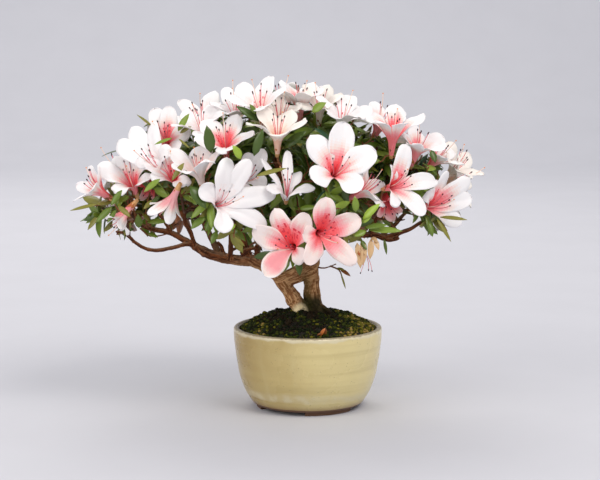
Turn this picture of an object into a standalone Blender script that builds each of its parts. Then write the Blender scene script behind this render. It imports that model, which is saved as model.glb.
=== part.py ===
"""Azalea bonsai in bloom, in its round glazed bowl pot.

Metres, +Z up. The origin is on the pot's axis, at the level that the pot stands on,
and the front of the tree looks towards -Y. Sizes below are written in millimetres
and turned into metres by MM or by the function at().
"""
import math
import random

import bmesh
import bpy
from mathutils import Matrix, Vector
from mathutils.bvhtree import BVHTree

MM = 0.001
GAP = 0.3                 # clearance between neighbouring solids
WELD = 0.002              # points nearer than this are one point
WELD_TESTS = (0.0001, 0.0005, 0.001, 0.002, 0.004)
COLLECTION = "azalea_bonsai"

# Pot: a round bowl on a low foot with three scallops and a drain hole in each.
POT_SIDES = 32
POT_LIP = (70.0, 82.0)
POT_FLOOR = 10.0
FOOT_RADIUS = 52.0
FOOT_HEIGHT = 4.0
FOOT_BEVEL = 0.6
POT_OUTSIDE = ((74.0, 82.0), (75.2, 80.5), (75.0, 78.0), (73.7, 61.0), (71.0, 43.0),
               (68.2, 30.0), (63.6, 18.0), (57.6, 7.5), (54.0, FOOT_HEIGHT))
POT_INSIDE = ((69.0, 80.0), (68.4, 61.0), (65.6, 43.0), (57.8, 18.0), (48.0, 10.0))
SCALLOPS = 3
SCALLOP_RADIUS = 27.0
SCALLOP_REACH = 50.0      # from the pot's axis
SCALLOP_HEIGHT = 3.6
SCALLOP_SIDES = 16
SCALLOP_FIRST = -124.0    # degrees from +X to the first scallop
DRAIN_RADIUS = 5.0
DRAIN_REACH = 36.0
DRAIN_SIDES = 8

# Soil: it fills the pot and rises to a mound with a flat seat under the trunks.
SEAT_Z = 94.0
SEAT_RADIUS = 34.0
MOUND = ((45.0, 91.0), (57.0, 86.0), (65.0, 81.0), (68.4, 78.0))
SOIL_EDGE = 76.5          # height at which the soil meets the pot
SOIL_GAP = 0.4            # to the pot's wall

# Limbs: places along each centre line, radius at both ends, and what it is cut clear of.
TRUNK_SIDES = 2           # bevel resolution of the thick limbs
BOUGH_SIDES = 1           # and of the thin ones
THICK_LIMB = 4.0          # radius that tells them apart
TAPER = 0.8               # power of the share of a limb's length
FLARE = 3.0               # that a trunk's foot gains
FLARE_SHARE = 0.25        # of its length
LIMBS = {
    "trunk_left": (((-4, -4, 84), (-4.5, -4, 97), (-14, -6, 111), (-24, -8, 126),
                    (-34, -10, 139), (-47, -14, 147), (-60, -18, 153)), 7.4, 5.4, ()),
    "trunk_right": (((9, 5, 84), (8, 4, 96), (4.5, 4, 108), (3.5, 4, 124),
                     (3.5, 4, 141), (5, 5, 156), (6, 5, 163)), 9.6, 6.0, ("trunk_left",)),
    "trunk_bridge": (((-22, -7.5, 127), (-10, -3, 130), (3, 3, 134)), 3.4, 3.2,
                     ("trunk_left", "trunk_right")),
    "bough_left": (((-55, -16, 151), (-72, -20, 152), (-90, -24, 156), (-101, -26, 160),
                    (-112, -28, 167)), 5.2, 4.0, ("trunk_left",)),
    "bough_far_left": (((-109, -27, 165), (-122, -28, 173), (-135, -28, 180), (-149, -26, 183),
                        (-163, -24, 186), (-171, -22, 193)), 3.6, 2.0, ("bough_left",)),
    "bough_low_left": (((-112, -27, 168), (-121, -31, 169), (-135, -36, 166), (-149, -38, 164),
                        (-158, -38, 165)), 2.5, 2.0, ("bough_left", "bough_far_left")),
    "bough_low_left_tip": (((-158.3, -38, 165.2), (-164, -39, 168), (-171, -40, 173),
                            (-176, -42, 179)), 1.9, 1.6, ("bough_low_left",)),
    "bough_left_high": (((-136, -28, 180), (-140, -29, 190), (-148, -31, 203), (-150, -32, 214)),
                        2.3, 1.8, ("bough_far_left",)),
    "bough_left_front": (((-111, -28, 166), (-116, -32, 180), (-121, -38, 192), (-121, -46, 203)),
                         2.6, 1.8, ("bough_left", "bough_far_left", "bough_low_left")),
    "bough_front_left": (((-78, -21, 153), (-76, -33, 168), (-76, -46, 184)), 2.8, 2.0,
                         ("bough_left",)),
    "bough_top_left": (((-58, -17, 152), (-66, -15, 176), (-74, -16, 204), (-82, -22, 236)),
                       4.2, 2.2, ("trunk_left", "bough_left")),
    "bough_back_left": (((-88, -22, 156), (-96, 4, 168), (-108, 26, 186), (-122, 40, 204)),
                        3.8, 2.2, ("bough_left",)),
    "bough_back": (((-52, -14, 149), (-50, 16, 160), (-48, 42, 178), (-46, 58, 196)),
                   3.8, 2.2, ("trunk_left", "bough_left", "bough_top_left")),
    "bough_top": (((4, 5, 157), (-3, 8, 184), (-14, 4, 210), (-28, -2, 236), (-34, -4, 256)),
                  5.0, 2.2, ("trunk_right",)),
    "bough_back_top": (((-14, 5, 211), (-24, 20, 226), (-34, 36, 246)), 3.0, 2.0, ("bough_top",)),
    "bough_front": (((4, 4, 149), (1, -18, 158), (-3, -38, 168), (-6, -56, 180)), 3.4, 2.0,
                    ("trunk_right",)),
    "bough_front_high": (((-4, 7, 187), (-9, -18, 200), (-14, -38, 214)), 3.0, 2.0,
                         ("bough_top",)),
    "bough_top_right": (((6, 5, 160), (14, 0, 190), (22, -8, 216), (27, -16, 238)), 3.8, 2.2,
                        ("trunk_right", "bough_top", "bough_front_high")),
    "bough_right": (((5, 5, 158), (22, 0, 166), (44, -10, 175), (64, -12, 176.5),
                     (76, -12, 173)), 4.4, 3.0,
                    ("trunk_right", "bough_top", "bough_top_right", "bough_front")),
    "bough_far_right": (((75, -12, 173), (87, -12, 177), (101, -12, 182), (116, -10, 190)),
                        2.8, 1.8, ("bough_right",)),
    "bough_right_front": (((50, -11, 175.5), (58, -28, 185), (64, -44, 198)), 2.5, 1.8,
                          ("bough_right",)),
    "bough_right_high": (((63, -12, 176.5), (70, -14, 200), (78, -18, 226)), 2.7, 1.8,
                         ("bough_right",)),
    "bough_back_right": (((6, 5, 160), (20, 26, 174), (34, 44, 192), (42, 54, 206)), 3.6, 2.0,
                         ("trunk_right", "bough_top", "bough_top_right", "bough_right")),
    "bough_far_back": (((72, -12, 174), (86, 10, 182), (102, 30, 196)), 2.7, 1.8,
                       ("bough_right", "bough_far_right")),
}
# Surface roots that flare the trunks' feet: the place where each one runs out.
ROOTS = {
    "trunk_left": (((-4.5, -4, 103), (-13, -10, 95), (-21, -15, 91)),
                   ((-4.5, -4, 103), (-12, 4, 95), (-17, 10, 91))),
    "trunk_right": (((8, 4, 104), (18, 0, 96), (29, -5, 91.5)),
                    ((8, 4, 104), (12, -6, 96), (16, -14, 91.5)),
                    ((8, 4, 104), (10, 14, 96), (13, 24, 91.5))),
}
ROOT_RADIUS = 5.0
ROOT_END_RADIUS = 2.4

# Foliage masses: the bough that carries each one, and the place it is grown round.
MASSES = {
    "mass_far_left": ("bough_far_left", (-184, -30, 222)),
    "mass_low_left": ("bough_low_left_tip", (-176, -62, 198)),
    "mass_left_high": ("bough_left_high", (-146, -38, 248)),
    "mass_left_front": ("bough_left_front", (-122, -74, 222)),
    "mass_front_left": ("bough_front_left", (-74, -76, 204)),
    "mass_top_left": ("bough_top_left", (-90, -36, 270)),
    "mass_back_left": ("bough_back_left", (-140, 54, 226)),
    "mass_back": ("bough_back", (-46, 80, 218)),
    "mass_top": ("bough_top", (-38, -22, 286)),
    "mass_back_top": ("bough_back_top", (-50, 48, 274)),
    "mass_front": ("bough_front", (-4, -82, 186)),
    "mass_front_high": ("bough_front_high", (-22, -74, 236)),
    "mass_top_right": ("bough_top_right", (32, -36, 266)),
    "mass_right_front": ("bough_right_front", (70, -66, 214)),
    "mass_right_high": ("bough_right_high", (88, -24, 252)),
    "mass_far_right": ("bough_far_right", (132, -20, 208)),
    "mass_back_right": ("bough_back_right", (46, 66, 234)),
    "mass_far_back": ("bough_far_back", (116, 46, 216)),
}

# The dome that the throats of the blooms sit on.
DOME_CENTRE = (-33, 0, 196)
DOME_REACH = (174, 114, 120)

# Blooms that show: throat, facing (degrees right of the front, degrees up),
# turn of the first petal clockwise from the top, and petal length.
BLOOMS = (
    ((-78, -110, 221), 32, 10, 8, 43),
    ((-18, -105, 179), -30, 5, -20, 37),
    ((16, -119, 190), 26, -5, -8, 37),
    ((27, -104, 250), 12, 30, 14, 41),
    ((-20, -98, 234), 4, 50, 0, 31),
    ((86, -90, 230), 38, 14, 12, 38),
    ((129, -48, 211), 55, 6, 6, 36),
    ((54, -80, 221), 74, 46, 20, 29),
    ((82, -58, 275), 14, 62, 20, 36),
    ((109, -38, 268), 50, 60, 24, 32),
    ((130, -12, 256), 80, 50, 32, 28),
    ((151, -8, 228), 88, 4, 32, 34),
    ((34, -48, 295), 32, 64, 30, 35),
    ((-7, -22, 312), 20, 74, 40, 36),
    ((-47, -54, 308), -8, 60, 8, 37),
    ((-80, -76, 276), -10, 58, 24, 36),
    ((-105, -46, 292), -34, 64, 10, 31),
    ((-138, -36, 278), -30, 66, 5, 30),
    ((-150, -70, 256), -44, 30, 0, 34),
    ((-173, -50, 238), -24, 46, -24, 35),
    ((-208, -44, 211), -72, 0, 30, 35),
    ((-108, -88, 238), -22, 36, 30, 29),
    ((-176, -70, 186), -36, -40, 30, 27),
    ((-131, -90, 212), -96, -8, 12, 32),
)
BLOOM_DEPTH = 12.0        # behind its throat, the point that chooses a bloom's mass
# The other blooms, spread by rule over the sides, top and back of the dome.
BACK_BLOOM_TRIES = 150
BACK_BLOOM_SPACING = 46.0
BACK_BLOOM_FRONT = -12.0  # none stands further forward
BACK_BLOOM_HEIGHTS = (0.02, 0.95)
BACK_BLOOM_LEVELS = (0.96, 1.02)
BACK_BLOOM_TURN = 14.0
BACK_BLOOM_TILTS = (-8.0, 12.0)
BACK_PETALS = (34.0, 39.0)

# Bloom: five petals round a funnel that narrows to its stalk.
PETALS = 5
PETAL_FLARE = 64.0        # degrees between the bloom's axis and its petals
PETAL_OUTLINE = ((0.26, 0.0), (0.52, 0.30), (0.84, 0.30), (1.0, 0.0))
PETAL_RISE = (1.15, 0.80)  # share of the flare's lift, at the throat and at the tip
PETAL_CURL = 4.0          # that the tip bends back
THROAT_DEPTH = 9.0
FUNNEL_RADIUS = 6.5
TUBE_LENGTH = 27.0
BLOOM_TRIES = [(share, slide) for share in (1.0, 0.93, 0.86, 0.79)
               for slide in (0, 4, -4, 8, -8, 12, -12)]

# Leaves: a lens of eight faces each.
LEAF_LENGTH = (29.0, 38.0)
LEAF_WIDTH = 0.38         # of the length
LEAF_THICKNESS = 0.045    # of the length
LEAF_WIDEST = 0.42        # of the length, from the root
LEAF_DROOP = 0.10         # of the length, at the tip
LEAF_CUP = 0.03           # of the length, at the sides
LEAF_LEAN = (38.0, 74.0)  # degrees from the twig
LEAF_SINK = 0.5
LEAF_FIRST = 1.0          # from the twig's end to the first leaf
LEAF_STAGGER = 1.8        # from each leaf to the next, along the twig
LEAF_NECK = 5.0           # near its root a leaf may pass through its neighbours
LEAF_LIMIT = 1.14         # of the dome's reach, for a leaf's tip
LEAF_TURNS = 3            # tries for each leaf
LEAF_JITTER = 0.3
BLOOM_WHORL = 2           # leaves behind a bloom
WHORL = 4                 # leaves round the end of a leafy twig

# Twigs: three-sided and straight, branching from the stem and from each other.
STEM_LENGTH = 8.0
STEM_SHARE = 0.95         # of its bough's tip
STEM_TAPER = 0.75
TWIG_RADIUS = 1.5
TWIG_END_RADIUS = 1.3
TWIG_LIMIT = 2.0          # radius of the thickest branch
TWIG_SHARE = 0.85         # of the radius that it branches from
TWIG_OVERRUN = 0.4        # of its radius, past both ends
SHORT_TWIG = 4.0          # none is shorter
LONG_TWIG = 58.0          # past which a twig has a bend
TWIG_SAG = 0.12           # of its length, at the bend
BRANCH_TRIES = 10         # places that a twig may start from
BRANCH_COST = 3.0         # distance that each further order of branching counts as
STALK_SINK = 7.0          # of a stalk's tip in its bloom's tube
SPRAYS_EACH = 3           # leafy twigs of a mass, besides the leaves behind its blooms
SPRAY_SPOTS = 160         # drawn for each, of which the emptiest are tried
SPRAY_TRIES = 8
SPRAY_REACH = 64.0        # from the mass's heart
SPRAY_LEVELS = (0.62, 0.98)
SPRAY_LEAST = 3           # leaves that a spray needs, or it is left out
SPRAY_MARGIN = 8.0        # of a spray from the edge of its mass
SPRAY_RISE = 0.3
CROWN_FOOT = 176.0        # no spray starts lower
SPACE_MARGIN = 0.6        # of a leaf from the edge of its mass
CLEAR = 0.5               # kept between a mass and its neighbours
NUDGE = 0.12              # that a solid moves where a fused mass touches itself
NUDGES = 7                # turns until a leaf is left out there instead
SEED = 13


def at(x, y, z):
    """A place given in millimetres."""
    return Vector((x, y, z)) * MM


def material(name, colour, roughness, metallic=0.0):
    """A plain Principled material."""
    mat = bpy.data.materials.new(name)
    mat.use_nodes = True
    shader = mat.node_tree.nodes["Principled BSDF"]
    shader.inputs["Base Color"].default_value = (*colour, 1.0)
    shader.inputs["Roughness"].default_value = roughness
    shader.inputs["Metallic"].default_value = metallic
    return mat


def place(name, bm, collection, mat=None):
    """Turn a bmesh into a named object in a collection."""
    mesh = bpy.data.meshes.new(name)
    bm.to_mesh(mesh)
    bm.free()
    thing = bpy.data.objects.new(name, mesh)
    collection.objects.link(thing)
    if mat:
        mesh.materials.append(mat)
    return thing


def as_mesh(thing):
    """Replace an object by its evaluated mesh, with loose caps welded."""
    evaluated = thing.evaluated_get(bpy.context.evaluated_depsgraph_get())
    mesh = bpy.data.meshes.new_from_object(evaluated)
    bm = bmesh.new()
    bm.from_mesh(mesh)
    bmesh.ops.remove_doubles(bm, verts=bm.verts, dist=WELD * MM)
    bmesh.ops.recalc_face_normals(bm, faces=bm.faces)
    bm.to_mesh(mesh)
    bm.free()
    made = bpy.data.objects.new(thing.name + "_mesh", mesh)
    made.matrix_world = thing.matrix_world
    return made


def remove(thing):
    """Remove an object and the data that only it used."""
    data = thing.data
    bpy.data.objects.remove(thing)
    if isinstance(data, bpy.types.Mesh):
        bpy.data.meshes.remove(data)
    else:
        bpy.data.curves.remove(data)


def boolean(thing, other, operation, solver="EXACT"):
    """Apply a Boolean with one object or, for a union, a whole collection."""
    step = thing.modifiers.new(operation.lower(), "BOOLEAN")
    step.operation = operation
    step.solver = solver
    if isinstance(other, bpy.types.Collection):
        step.operand_type = "COLLECTION"
        step.collection = other
    else:
        step.object = other
    evaluated = thing.evaluated_get(bpy.context.evaluated_depsgraph_get())
    mesh = bpy.data.meshes.new_from_object(evaluated)
    thing.modifiers.remove(step)
    old = thing.data
    thing.data = mesh
    bpy.data.meshes.remove(old)


def shells_of(bm):
    """The groups of faces that hang together by their edges, smallest first."""
    left = set(bm.faces)
    shells = []
    while left:
        shell = [left.pop()]
        for face in shell:
            for edge in face.edges:
                for other in edge.link_faces:
                    if other in left:
                        left.discard(other)
                        shell.append(other)
        shells.append(shell)
    return sorted(shells, key=len)


def keep_largest(thing):
    """Keep only the largest shell: loose scraps go and sealed hollows fill."""
    bm = bmesh.new()
    bm.from_mesh(thing.data)
    for shell in shells_of(bm)[:-1]:
        bmesh.ops.delete(bm, geom=shell, context="FACES")
    bm.to_mesh(thing.data)
    bm.free()


def smooth_line(points, steps):
    """A smooth line through points, with some steps between each two."""
    line = []
    for i in range(len(points) - 1):
        before = points[max(i - 1, 0)]
        start, end = points[i], points[i + 1]
        after = points[min(i + 2, len(points) - 1)]
        for s in range(steps):
            t = s / steps
            line.append(0.5 * (2 * start + (end - before) * t
                               + (2 * before - 5 * start + 4 * end - after) * t ** 2
                               + (3 * start - before - 3 * end + after) * t ** 3))
    line.append(points[-1])
    return line


def tube(name, points, radius, end_radius, sides, collection, grow=0.0, flare=0.0):
    """A tapering round limb through points, as a closed mesh."""
    curve = bpy.data.curves.new(name, "CURVE")
    curve.dimensions = "3D"
    curve.bevel_depth = 1.0
    curve.bevel_resolution = sides
    curve.use_fill_caps = True
    line = smooth_line([at(*p) for p in points], 2 if sides == TRUNK_SIDES else 1)
    if grow:
        line[0] += (line[0] - line[1]).normalized() * grow * MM
        line[-1] += (line[-1] - line[-2]).normalized() * grow * MM
    spline = curve.splines.new("POLY")
    spline.points.add(len(line) - 1)
    last = len(line) - 1
    for i, point in enumerate(line):
        share = i / last
        spline.points[i].co = (*point, 1.0)
        wide = radius + (end_radius - radius) * share ** TAPER
        wide += flare * max(0.0, 1 - share / FLARE_SHARE) ** 2
        spline.points[i].radius = (wide + grow) * MM
    thing = bpy.data.objects.new(name, curve)
    collection.objects.link(thing)
    made = as_mesh(thing)
    remove(thing)
    made.name = name
    collection.objects.link(made)
    return made


def turned(name, profile, sides, collection, mat):
    """A closed profile of (radius, height) turned round the Z axis."""
    bm = bmesh.new()
    verts = [bm.verts.new(at(r, 0, z)) for r, z in profile]
    for first, second in zip(verts, verts[1:]):
        bm.edges.new((first, second))
    thing = place(name, bm, collection, mat)
    screw = thing.modifiers.new("turn", "SCREW")
    screw.steps = sides
    screw.render_steps = sides
    screw.use_merge_vertices = True
    screw.merge_threshold = WELD * MM
    screw.use_smooth_shade = False
    return thing


def drum(name, radius, low, high, x, y, sides, cutters):
    """An upright round cutter."""
    bm = bmesh.new()
    bmesh.ops.create_cone(bm, cap_ends=True, segments=sides, radius1=radius * MM,
                          radius2=radius * MM, depth=(high - low) * MM)
    bmesh.ops.translate(bm, verts=bm.verts, vec=at(x, y, (low + high) / 2))
    thing = place(name, bm, cutters)
    thing.hide_render = True
    thing.display_type = "WIRE"
    return thing


def make_pot(parts, cutters):
    """The bowl, with its scalloped foot and drain holes."""
    glaze = material("pot_glaze", (0.62, 0.60, 0.42), 0.28)
    profile = ((0, POT_FLOOR), *reversed(POT_INSIDE), POT_LIP, *POT_OUTSIDE,
               (FOOT_RADIUS, FOOT_HEIGHT), (FOOT_RADIUS - FOOT_BEVEL, 0.0), (0, 0.0))
    pot = turned("pot", profile, POT_SIDES, parts, glaze)
    for i in range(SCALLOPS):
        angle = math.radians(SCALLOP_FIRST + i * 360 / SCALLOPS)
        x, y = math.cos(angle), math.sin(angle)
        scallop = drum("scallop_%d" % i, SCALLOP_RADIUS, -SCALLOP_HEIGHT, SCALLOP_HEIGHT,
                       x * SCALLOP_REACH, y * SCALLOP_REACH, SCALLOP_SIDES, cutters)
        drain = drum("drain_%d" % i, DRAIN_RADIUS, SCALLOP_HEIGHT / 2, POT_FLOOR * 1.2,
                     x * DRAIN_REACH, y * DRAIN_REACH, DRAIN_SIDES, cutters)
        for cutter in (scallop, drain):
            cut = pot.modifiers.new(cutter.name, "BOOLEAN")
            cut.operation = "DIFFERENCE"
            cut.object = cutter


def make_soil(parts):
    """The soil and moss, up to the flat seat under the trunks."""
    moss = material("moss_and_soil", (0.05, 0.06, 0.02), 0.95)
    wall = [(r - SOIL_GAP, max(z, POT_FLOOR + GAP)) for r, z in POT_INSIDE[1:]]
    edge = (POT_INSIDE[0][0] - SOIL_GAP, SOIL_EDGE)
    seat = SEAT_Z - GAP
    profile = ((0, seat), (SEAT_RADIUS, seat), *MOUND, edge, *wall, (0, POT_FLOOR + GAP))
    turned("soil", profile, POT_SIDES, parts, moss)


def make_limbs(parts, cutters):
    """The trunks, the bridge between them and the boughs, each cut clear of its carrier.

    The answer holds a slightly fatter copy of each, which nothing else may enter.
    """
    bark = material("bark", (0.20, 0.12, 0.075), 0.85)
    fats = {}
    for name, (points, radius, end_radius, carriers) in LIMBS.items():
        trunk = name in ROOTS
        sides = TRUNK_SIDES if radius > THICK_LIMB else BOUGH_SIDES
        flare = FLARE if trunk else 0.0
        limb = tube(name, points, radius, end_radius, sides, parts, 0.0, flare)
        fat = tube(name + "_fat", points, radius, end_radius, sides, cutters, GAP, flare)
        if trunk:
            for i, root in enumerate(ROOTS[name]):
                for body, grow in ((limb, 0.0), (fat, GAP)):
                    branch = tube("root_%d" % i, root, ROOT_RADIUS, ROOT_END_RADIUS,
                                  BOUGH_SIDES, cutters, grow)
                    boolean(body, branch, "UNION")
                    remove(branch)
            bm = bmesh.new()
            bm.from_mesh(limb.data)
            cut = bmesh.ops.bisect_plane(bm, geom=bm.verts[:] + bm.edges[:] + bm.faces[:],
                                         plane_co=at(0, 0, SEAT_Z), plane_no=(0, 0, -1),
                                         clear_outer=True)
            rim = [e for e in cut["geom_cut"] if isinstance(e, bmesh.types.BMEdge)]
            bmesh.ops.holes_fill(bm, edges=rim)
            bm.to_mesh(limb.data)
            bm.free()
        for carrier in carriers:
            boolean(limb, fats[carrier], "DIFFERENCE")
        keep_largest(limb)
        limb.data.materials.clear()
        limb.data.materials.append(bark)
        fats[name] = fat
    return fats


def tree_of(things):
    """One search tree over the world-space faces of several meshes."""
    verts = []
    faces = []
    for thing in things:
        base = len(verts)
        verts.extend(v.co.copy() for v in thing.verts)
        faces.extend([base + v.index for v in f.verts] for f in thing.faces)
    return BVHTree.FromPolygons(verts, faces)


def face_outwards(bm):
    """Turn the faces of one closed body so that they point out of it."""
    bm.normal_update()
    if bm.calc_volume(signed=True) < 0:
        bmesh.ops.reverse_faces(bm, faces=bm.faces)


def bloom_frame(facing, up, turn):
    """The matrix whose Z axis is the way a bloom faces, turned about it."""
    a, e = math.radians(facing), math.radians(up)
    axis = Vector((math.sin(a) * math.cos(e), -math.cos(a) * math.cos(e), math.sin(e)))
    side = Vector((math.cos(a), math.sin(a), 0.0))
    over = axis.cross(side)
    frame = Matrix((side, over, axis)).transposed().to_4x4()
    return frame @ Matrix.Rotation(math.radians(-turn), 4, "Z")


def bloom_solid(length, fat):
    """Five petals and their funnel as one closed body, the throat at the origin, facing +Z."""
    bm = bmesh.new()
    outline = (*((a, -w) for a, w in PETAL_OUTLINE), *reversed(PETAL_OUTLINE[1:-1]))
    around = PETALS * len(outline)
    bmesh.ops.create_uvsphere(bm, u_segments=around, v_segments=3, radius=1.0)
    flare = math.radians(PETAL_FLARE)
    for vert in bm.verts:
        height = vert.co.z
        turn = math.atan2(vert.co.y, vert.co.x)
        if abs(height) > 0.9:
            throat = height > 0
            vert.co = Vector((0, 0, fat - THROAT_DEPTH if throat else -TUBE_LENGTH - fat))
            continue
        petal, step = divmod(round(turn / math.tau * around) % around, len(outline))
        middle = math.tau * petal / PETALS + math.pi / 2
        along, across = outline[step]
        if height < 0:
            across = 0.0
            middle += math.pi / PETALS * (1 if step > len(outline) / 2 else -1)
            reach = FUNNEL_RADIUS + fat
            lift = -THROAT_DEPTH - 1.0 - fat
        else:
            reach = along * (length + fat)
            rise = PETAL_RISE[0] + (PETAL_RISE[1] - PETAL_RISE[0]) * along
            lift = reach * math.cos(flare) * rise - PETAL_CURL * along ** 6
            reach *= math.sin(flare)
            if step == 0:
                middle -= math.pi / PETALS
        wide = across * (length + fat)
        vert.co = Vector((math.cos(middle) * reach - math.sin(middle) * wide,
                          math.sin(middle) * reach + math.cos(middle) * wide, lift))
    bmesh.ops.remove_doubles(bm, verts=bm.verts, dist=0.01)
    bmesh.ops.triangulate(bm, faces=bm.faces)
    face_outwards(bm)
    bmesh.ops.scale(bm, vec=(MM, MM, MM), verts=bm.verts)
    return bm


def leaf_solid(root, aim, over, length, fat):
    """A lens of eight faces from its root along aim, its upper side towards over."""
    bm = bmesh.new()
    bmesh.ops.create_uvsphere(bm, u_segments=4, v_segments=2, radius=1.0)
    aim = aim.normalized()
    side = aim.cross(over).normalized()
    over = side.cross(aim)
    for vert in bm.verts:
        x, y, z = vert.co
        along = 1.0 if x > 0.5 else (0.0 if x < -0.5 else LEAF_WIDEST)
        reach = along * length + (fat if along == 1.0 else 0.0)
        wide = y * (length * LEAF_WIDTH / 2 + fat)
        thick = z * (length * LEAF_THICKNESS / 2 + fat)
        dip = (LEAF_CUP * abs(y) - LEAF_DROOP * along ** 2) * length
        vert.co = root + (aim * reach + side * wide + over * (thick + dip)) * MM
    face_outwards(bm)
    return bm


def twig_solid(start, end, radius, end_radius, turn, fat):
    """A straight three-sided twig."""
    bm = bmesh.new()
    span = end - start
    bmesh.ops.create_cone(bm, cap_ends=True, segments=3, radius1=(radius + fat) * MM,
                          radius2=(end_radius + fat) * MM, depth=span.length)
    frame = span.to_track_quat("Z", "Y").to_matrix().to_4x4() @ Matrix.Rotation(turn, 4, "Z")
    frame.translation = (start + end) / 2
    bmesh.ops.transform(bm, matrix=frame, verts=bm.verts)
    return bm


class Mass:
    """One mass of foliage: its solids so far, and the points where twigs can branch."""

    def __init__(self, name, heart, tip, aim, radius):
        self.name = name
        self.heart = heart
        self.tip = tip
        self.aim = aim
        self.radius = radius
        self.blooms = []
        self.nodes = []
        self.sprays = []
        self.solids = []
        self.fats = []
        self.bloom_fats = []
        self.leaves = []


def dome_level(point):
    """0 at the dome's centre and 1 on its surface."""
    offset = (point - at(*DOME_CENTRE)) / MM
    return Vector([offset[i] / DOME_REACH[i] for i in range(3)]).length


def outward(point):
    """The direction away from the dome's surface at a point."""
    offset = (point - at(*DOME_CENTRE)) / MM
    return Vector([offset[i] / DOME_REACH[i] ** 2 for i in range(3)]).normalized()


def margin(point, mass, masses):
    """How far inside its own space a point of a mass is, in millimetres."""
    own = (point - mass.heart).length
    return min((point - other.heart).length - own for other in masses if other is not mass) / MM


def meets(bm, trees):
    """True where a solid crosses any of the trees."""
    tree = tree_of([bm])
    return any(tree.overlap(other) for other in trees)


def back_blooms(draw):
    """Blooms for the sides, top and back, spread by rule over the dome."""
    made = []
    spots = [at(*bloom[0]) for bloom in BLOOMS]
    lowest, highest = BACK_BLOOM_HEIGHTS
    for i in range(BACK_BLOOM_TRIES):
        height = lowest + (highest - lowest) * (i + 0.5) / BACK_BLOOM_TRIES
        around = i * math.pi * (3 - math.sqrt(5))
        ring = math.sqrt(1 - height ** 2)
        level = draw.uniform(*BACK_BLOOM_LEVELS)
        point = at(DOME_CENTRE[0] + DOME_REACH[0] * ring * math.cos(around) * level,
                   DOME_CENTRE[1] + DOME_REACH[1] * ring * math.sin(around) * level,
                   DOME_CENTRE[2] + DOME_REACH[2] * height * level)
        near = min((point - spot).length for spot in spots)
        if point.y < BACK_BLOOM_FRONT * MM or near < BACK_BLOOM_SPACING * MM:
            continue
        way = outward(point)
        facing = math.degrees(math.atan2(way.x, -way.y))
        facing += draw.uniform(-BACK_BLOOM_TURN, BACK_BLOOM_TURN)
        up = math.degrees(math.asin(way.z)) + draw.uniform(*BACK_BLOOM_TILTS)
        made.append((point, facing, up, draw.uniform(0, 360 / PETALS), draw.uniform(*BACK_PETALS)))
        spots.append(point)
    return made


def plant_blooms(masses, limb_tree, draw):
    """Give each bloom to the mass whose heart is nearest.

    A bloom that would cross another slides along its own axis, or opens a little less
    wide, until it is clear.
    """
    wanted = [(at(*throat), *rest) for throat, *rest in BLOOMS] + back_blooms(draw)
    for throat, facing, up, turn, length in wanted:
        frame = bloom_frame(facing, up, turn)
        way = frame.to_3x3() @ Vector((0, 0, 1))
        inner = throat - way * BLOOM_DEPTH * MM
        mass = min(masses, key=lambda m: (inner - m.heart).length)
        trees = [tree_of(m.fats) for m in masses if m.fats] + [limb_tree]
        for share, slide in BLOOM_TRIES:
            frame.translation = throat + way * slide * MM
            fat = bloom_solid(length * share, CLEAR)
            bmesh.ops.transform(fat, matrix=frame, verts=fat.verts)
            if not meets(fat, trees):
                break
            fat.free()
        else:
            continue
        bm = bloom_solid(length * share, 0.0)
        bmesh.ops.transform(bm, matrix=frame, verts=bm.verts)
        mass.blooms.append((frame.translation.copy(), way))
        mass.solids.append(bm)
        mass.fats.append(fat)
        mass.bloom_fats.append(fat)


def add_twig(mass, start, end, radius, end_radius, draw, trees):
    """Add a twig if it is clear of everything else, and say whether it was added."""
    turn = draw.uniform(0, math.tau)
    way = (end - start).normalized()
    sizes = (start - way * radius * TWIG_OVERRUN * MM, end + way * end_radius * TWIG_OVERRUN * MM,
             radius, end_radius, turn)
    fat = twig_solid(*sizes, CLEAR)
    if meets(fat, trees):
        fat.free()
        return False
    mass.solids.append(twig_solid(*sizes, 0.0))
    mass.fats.append(fat)
    return True


def reach_for(mass, target, end_radius, draw, trees):
    """Grow a twig to a target from the nearest branching point with a clear way to it.

    The answer is the direction in which the twig arrives, or None.
    """
    cost = BRANCH_COST * MM
    order = sorted(mass.nodes, key=lambda node: (node[0] - target).length + node[2] * cost)
    for point, radius, rank in order[:BRANCH_TRIES]:
        span = target - point
        start_radius = max(min(radius * TWIG_SHARE, TWIG_LIMIT), end_radius)
        if span.length < SHORT_TWIG * MM:
            continue
        middle_radius = (start_radius + end_radius) / 2
        bend = point.lerp(target, 0.5) - Vector((0, 0, TWIG_SAG)) * span.length
        if span.length > LONG_TWIG * MM:
            if add_twig(mass, point, bend, start_radius, middle_radius, draw, trees):
                if add_twig(mass, bend, target, middle_radius, end_radius, draw, trees):
                    mass.nodes.append((bend, middle_radius, rank + 1))
                    mass.nodes.append((target, end_radius, rank + 2))
                    return (target - bend).normalized()
                mass.solids.pop().free()
                mass.fats.pop().free()
        if add_twig(mass, point, target, start_radius, end_radius, draw, trees):
            mass.nodes.append((point.lerp(target, 0.5), middle_radius, rank + 1))
            mass.nodes.append((target, end_radius, rank + 2))
            return span.normalized()
    return None


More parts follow.
